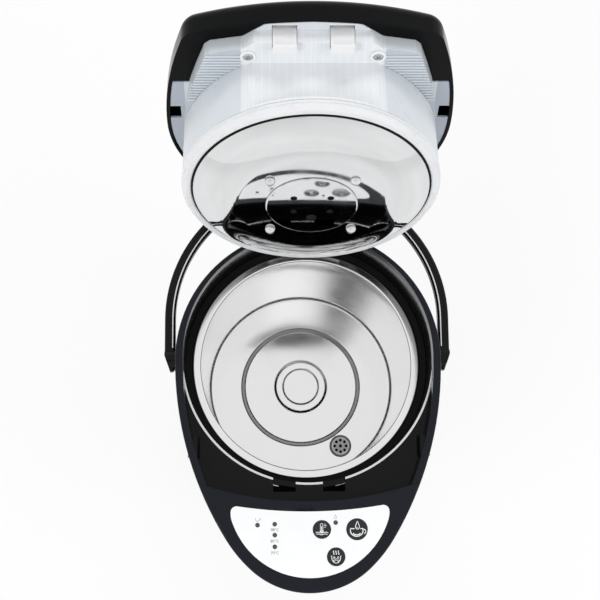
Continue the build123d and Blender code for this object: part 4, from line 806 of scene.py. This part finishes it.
def set_screws():
    """Two pan-head screws with a cross recess, each in a raised ring of the liner."""
    crown, seat, tip = TRAY_FLOOR - 1.3, TRAY_FLOOR - 0.2, TRAY_FLOOR + 15.2
    screw_outline = rounded([
        (0, crown, 0), (2.5, crown, 0.5), (3.2, crown + 0.6, 0.2), (3.2, seat, 0.1),
        (1.5, seat, 0.05), (1.5, tip - 1.4, 0.2), (0, tip, 0),
    ])
    ring_outline = rounded([
        (3.4, seat, 0), (3.4, crown + 0.15, 0.2), (4.9, crown + 0.15, 0.5), (5.4, crown + 0.6, 0.3),
        (5.4, seat, 0.1),
    ])
    heads, rings = bmesh.new(), bmesh.new()
    crown_place = Matrix.Translation((0, 0, crown * MM))
    for x, y in SCREWS:
        turns = [Matrix.Rotation(radians(angle), 4, "Z") for angle in (35, 125)]
        bars = [block((3.8, 0.85, 1.6), crown_place @ turn) for turn in turns]
        screw = cut(lathe(screw_outline, 48, closed=False), bars)
        for mesh, shape in ((screw, heads), (lathe(ring_outline, 64), rings)):
            mesh.transform(Matrix.Translation((x * MM, y * MM, 0)))
            shape.from_mesh(mesh)
    screws = link("cross_screws", taken(heads, "cross_screws"), "lid", "plated_steel", LID_OPENED)
    rims = link("screw_rings", taken(rings, "screw_rings"), "lid", "white_plastic", LID_OPENED)
    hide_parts("lid_screws")


set_screws()

# ---------------------------------------------------------------- round the well and on the handle

RECESS_FLOOR = 291.5
WELL_RADIUS = 96.6
CLAW_SLOTS = ((-19.0, -97.6), (19.0, -97.6))
CLAW_SLOT_SIZE = (17.4, 12.4, 8.0)
HANDLE = {"radius": 112.0, "bar": 8.4, "bend": 32.0, "top": 283.5, "eye": 9.0}


def line_well():
    """A fine bright metal ring round the well's edge, a painted highlight where the edge catches light,
    broken at the openings of the latch claws.
    """
    lip, low, high = WELL_RADIUS + 0.1, RECESS_FLOOR - 0.5, RECESS_FLOOR + 0.06
    outline = rounded([(lip, low, 0), (lip + 1.9, low, 0), (lip + 1.9, high, 0.15), (lip, high, 0.4)])
    gaps = [
        block(CLAW_SLOT_SIZE, Matrix.Translation((x * MM, y * MM, high * MM))) for x, y in CLAW_SLOTS
    ]
    # painted highlight: a bright plated ring standing in for light caught on the well's edge
    well_highlight_ring = link("well_edge_highlight", cut(lathe(outline, FINE), gaps), "body", "painted_highlight_metal")


def line_handle():
    """A bright metal strip on the handle's top along its inner edge, a painted highlight where the bevel
    catches light.
    """
    middle = HANDLE["radius"] - HANDLE["bar"] + 2.0
    turns = [pi * turn / 96 for turn in range(97)]
    path = [Vector((middle * cos(turn), HANDLE["bend"] + middle * sin(turn))) for turn in turns]
    path = [Vector((middle, HANDLE["eye"])), *path, Vector((-middle, HANDLE["eye"]))]
    strip = bmesh.new()
    rings = []
    for index, here in enumerate(path):
        along = (path[min(index + 1, len(path) - 1)] - path[max(index - 1, 0)]).normalized()
        out = Vector((along.y, -along.x))
        section = [(-0.45, -0.3), (-0.45, 0.04), (-0.2, 0.14), (0.2, 0.14), (0.45, 0.04), (0.45, -0.3)]
        ring = []
        for across, rise in section:
            x, y = here + out * across
            ring.append(strip.verts.new((x * MM, y * MM, (HANDLE["top"] + rise) * MM)))
        rings.append(ring)
    for ring, following in zip(rings, rings[1:]):
        for corner in range(len(ring)):
            on = (corner + 1) % len(ring)
            strip.faces.new((ring[corner], ring[on], following[on], following[corner]))
    strip.faces.new(rings[0])
    strip.faces.new(rings[-1])
    bmesh.ops.recalc_face_normals(strip, faces=strip.faces)
    # painted highlight: bright plated strip standing in for light on the handle's bevel
    line = link("handle_edge_highlight", taken(strip, "handle_edge_highlight"), "handle", "painted_highlight_metal")


line_well()
line_handle()

# ---------------------------------------------------------------- printed signs


class Print:
    """Flat printed lines and patches, worked in mm round a centre and laid on a face at a height."""

    def __init__(self, centre, face, thickness=0.04):
        self.shape = bmesh.new()
        self.centre = Vector(centre)
        self.low, self.high = face + 0.005, face + 0.005 + thickness

    def point(self, place, height):
        x, y = self.centre + Vector(place)
        return self.shape.verts.new((x * MM, y * MM, height * MM))

    def line(self, points, width, closed=False):
        """A line of that width through the points, with a flat end or joined to its start."""
        path = [Vector(point) for point in points]
        rings = []
        for index, here in enumerate(path):
            before = path[index - 1] if index or closed else here
            after = path[(index + 1) % len(path)] if index < len(path) - 1 or closed else here
            along = (after - before).normalized()
            out = Vector((-along.y, along.x)) * width / 2
            left, right = here + out, here - out
            corners = [(left, self.low), (left, self.high), (right, self.high), (right, self.low)]
            rings.append([self.point(place, height) for place, height in corners])
        spans = list(zip(rings, rings[1:])) + ([(rings[-1], rings[0])] if closed else [])
        for start, end in spans:
            for corner in range(4):
                on = (corner + 1) % 4
                self.shape.faces.new((start[corner], start[on], end[on], end[corner]))
        if not closed:
            self.shape.faces.new(rings[0])
            self.shape.faces.new(rings[-1])

    def patch(self, points):
        """A filled outline."""
        low = [self.point(point, self.low) for point in points]
        high = [self.point(point, self.high) for point in points]
        self.shape.faces.new(low)
        self.shape.faces.new(high)
        for index in range(len(points)):
            on = (index + 1) % len(points)
            self.shape.faces.new((low[index], low[on], high[on], high[index]))

    def words(self, text, height):
        """Plain lettering centred on the place."""
        letters = bpy.data.curves.new("letters", "FONT")
        letters.body = text
        letters.align_x = "CENTER"
        letters.size = height * 1.4 * MM
        letters.extrude = (self.high - self.low) / 2 * MM
        letters.resolution_u = 3
        holder = bpy.data.objects.new("letters", letters)
        bpy.context.scene.collection.objects.link(holder)
        bpy.context.view_layer.update()
        seen = holder.evaluated_get(bpy.context.evaluated_depsgraph_get())
        mesh = bpy.data.meshes.new_from_object(seen)
        middle = (self.low + self.high) / 2
        mesh.transform(Matrix.Translation((self.centre.x * MM, self.centre.y * MM, middle * MM)))
        self.shape.from_mesh(mesh)
        bpy.data.objects.remove(holder)

    def done(self, name, body, finish):
        bmesh.ops.recalc_face_normals(self.shape, faces=self.shape.faces)
        link(name, taken(self.shape, name), body, finish)


def arc(centre, radii, start, end, steps=14):
    """Points of an ellipse's arc, angles in degrees."""
    angles = [radians(start + (end - start) * step / steps) for step in range(steps + 1)]
    return [(centre[0] + radii[0] * cos(a), centre[1] + radii[1] * sin(a)) for a in angles]


def drop(centre, width, height, steps=20):
    """Outline of a water drop with its tip up."""
    outline = []
    for step in range(steps):
        turn = 2 * pi * step / steps
        half = width / 2 * 1.25 * sin(turn / 2) ** 1.6
        outline.append((centre[0] + half * sin(turn), centre[1] + height / 2 * cos(turn)))
    return outline


def wave(y, half, swing, steps=24):
    """A wavy line at that height, from -half to half."""
    shares = [step / steps for step in range(steps + 1)]
    return [(half * (2 * share - 1), y + swing * sin(3.2 * pi * share)) for share in shares]


def print_signs():
    """White signs on the buttons and small grey ones on the label."""
    # water temperature: a thermometer standing in waves, marks beside it
    sign = Print(BUTTONS["button_temperature"], BUTTON_TOP)
    sign.line(arc((-0.2, 3.5), (0.95, 0.95), 0, 180) + [(-1.15, -0.6)], 0.38)
    sign.line([(0.75, 3.5), (0.75, -0.6)], 0.38)
    sign.patch([(-0.55, 2.4), (0.15, 2.4), (0.15, -1.5), (-0.55, -1.5)])
    sign.patch(arc((-0.2, -1.3), (1.45, 1.0), 0, 350, 18))
    for y in (3.9, 2.8, 1.7):
        sign.line([(1.7, y), (3.5 - abs(y - 2.8) * 0.5, y)], 0.38)
    for y in (-2.3, -3.6):
        sign.line(wave(y, 4.7 - abs(y + 2.3) * 0.5, 0.32), 0.52)
    sign.done("sign_temperature", "button_temperature", "white_ink")
    # pouring: a drop over a cup
    sign = Print(BUTTONS["button_dispense"], BUTTON_TOP)
    sign.line(drop((0.3, 3.1), 3.4, 6.0), 0.55, closed=True)
    sign.line(arc((0.2, 2.2), (0.75, 1.0), 200, 300, 6), 0.35)
    bowl = arc((-0.3, -1.2), (4.7, 4.0), 180, 360)
    sign.line([(-2.0, 0.5), (-5.0, 0.5), *bowl, (4.4, 0.5), (2.4, 0.5)], 0.75)
    sign.line(arc((-0.3, -2.2), (2.9, 1.9), 200, 340), 0.8)
    sign.line(arc((4.6, -1.6), (1.9, 1.7), 90, -70, 10), 0.6)
    sign.done("sign_pouring", "button_dispense", "white_ink")
    # boiling: steam over a bowl of bubbles
    sign = Print(BUTTONS["button_steam"], BUTTON_TOP)
    for x in (-1.8, 0, 1.8):
        sign.line([(x + 0.28 * sin(step * 1.05), 1.5 + 0.5 * step) for step in range(7)], 0.6)
    bowl = arc((0, -0.6), (3.3, 4.0), 180, 360)
    sign.line([(-3.9, 0.7), (-3.3, 0.4), *bowl, (3.3, 0.4), (3.9, 0.7)], 0.5)
    for x, y in ((-1.5, -0.6), (1.5, -0.6), (0, -2.0), (-1.6, -2.9), (1.6, -2.9)):
        sign.line(arc((x, y), (0.62, 0.62), 0, 330, 11), 0.34, closed=True)
    sign.done("sign_boiling", "button_steam", "white_ink")
    # small grey prints beside the lights
    cup = Print((-39.6, -124.3), PANEL_TOP)
    cup.line([(-1.8, 0.9)] + arc((0, 0.2), (1.6, 1.5), 180, 360) + [(1.8, 0.9)], 0.22)
    cup.line(arc((1.9, 0.0), (0.7, 0.6), 80, -80, 6), 0.2)
    cup.done("print_cup", "body", "grey_ink")
    small_drop = Print((19.1, -122.9), PANEL_TOP)
    small_drop.line(drop((0, 0), 1.9, 2.9, 16), 0.22, closed=True)
    small_drop.done("print_drop", "body", "grey_ink")
    for y, degrees in ((-133.1, 98), (-141.4, 85), (-150.1, 70)):
        figure = Print((-26.7, y), PANEL_TOP)
        figure.words(f"{degrees}\u00b0C", 2.1)
        figure.done(f"print_{degrees}_degrees", "body", "grey_ink")


print_signs()

# ---------------------------------------------------------------- floor and light

# direction, brightness, and the distances from the direction at which a spot is full and gone
BRIGHT_PANEL = ((0.07, -0.20, 0.97), 1.0, 0.07, 0.12)
DARK_GAP = ((-0.16, -0.21, 0.97), 0.04, 0.09, 0.13)


def stage_floor():
    """A pale floor that glows a little to the eye and to polished metal, and is lit as any other face."""
    finish = Finish("pale_floor", Roughness=0.9)
    place = finish.place()
    finish.vary(Base_Color=finish.blend(finish.noise(place, 3.0), grey(0.9), grey(0.93)))
    rays = finish.node("LightPath")
    seen = Amount(finish, rays.socket.node.outputs["Is Camera Ray"])
    mirrored = Amount(finish, rays.socket.node.outputs["Is Glossy Ray"])
    glow = finish.node("Emission", None, {"Color": (1, 1, 1, 1), "Strength": 1.0})
    share = (seen * 0.8 + mirrored * 0.7).clamped()
    lit = Amount(finish, finish.shader.outputs[0])
    mixed = finish.node("MixShader", None, {0: share, 1: lit, 2: glow})
    finish.tree.links.new(mixed.socket, finish.tree.nodes["Material Output"].inputs["Surface"])
    mesh = bpy.data.meshes.new("floor")
    half, level = 6.0, -0.0005
    sides = ((-half, -half), (half, -half), (half, half), (-half, half))
    mesh.from_pydata([(x, y, level) for x, y in sides], [], [(0, 1, 2, 3)])
    mesh.materials.append(finish.material)
    floor = bpy.data.objects.new("floor", mesh)
    bpy.context.scene.collection.objects.link(floor)


def studio_world():
    """Soft white all round. Polished metal sees a dimmer ceiling with a dark gap beside a bright panel."""
    world = bpy.data.worlds.new("studio")
    world.use_nodes = True
    bpy.context.scene.world = world
    tree = world.node_tree

    def node(kind, settings=None, inputs=None, output=0):
        """One node of the world's tree, by type, settings and inputs."""
        made = tree.nodes.new("ShaderNode" + kind)
        for name, value in (settings or {}).items():
            setattr(made, name, value)
        for socket, value in (inputs or {}).items():
            if isinstance(value, bpy.types.NodeSocket):
                tree.links.new(value, made.inputs[socket])
            else:
                made.inputs[socket].default_value = value
        return made.outputs[output]

    lighting = tree.nodes["Background"]
    lighting.inputs["Color"].default_value = (1, 1, 1, 1)
    lighting.inputs["Strength"].default_value = 0.62
    way = node("TexCoord", output=0)
    height = node("SeparateXYZ", None, {"Vector": way}, output=2)
    dimming = {"From Min": 0.3, "From Max": 0.95, "To Min": 1.0, "To Max": 0.84}
    shade = node("MapRange", None, {"Value": height, **dimming})
    for spot, brightness, near, far in (BRIGHT_PANEL, DARK_GAP):
        distance = node("VectorMath", {"operation": "DISTANCE"}, {0: way, 1: spot}, output=1)
        fading = {"From Min": near, "From Max": far, "To Min": 1.0, "To Max": 0.0}
        inside = node("MapRange", None, {"Value": distance, **fading})
        shade = node("Mix", {"data_type": "FLOAT"}, {0: inside, 2: shade, 3: brightness})
    mirrored = node("Background", None, {"Color": shade})
    backdrop = node("Background", None, {"Color": (1, 1, 1, 1)})
    rays = node("LightPath").node
    last = lighting.outputs[0]
    layers = {"Is Glossy Ray": mirrored, "Is Transmission Ray": backdrop, "Is Camera Ray": backdrop}
    for ray, shader in layers.items():
        last = node("MixShader", None, {0: rays.outputs[ray], 1: last, 2: shader})
    tree.links.new(last, tree.nodes["World Output"].inputs["Surface"])


def softbox(name, place, aim, size, power):
    """A soft lamp that isn't mirrored in polished faces."""
    lamp = bpy.data.lights.new(name, "AREA")
    lamp.shape = "RECTANGLE"
    lamp.size, lamp.size_y = size
    lamp.energy = power
    holder = bpy.data.objects.new(name, lamp)
    holder.location = place
    holder.rotation_euler = (Vector(aim) - Vector(place)).to_track_quat("-Z", "Y").to_euler()
    holder.visible_glossy = False
    bpy.context.scene.collection.objects.link(holder)


stage_floor()
studio_world()
softbox("key", (-1.1, -0.9, 1.7), (0, 0, 0.25), (0.9, 0.9), 14.0)
softbox("fill", (1.3, -0.5, 1.3), (0, 0, 0.25), (0.8, 1.2), 8.0)
softbox("back", (0.1, 1.6, 1.5), (0, 0.1, 0.35), (1.4, 0.6), 10.0)

bpy.context.scene.view_settings.view_transform = "Standard"
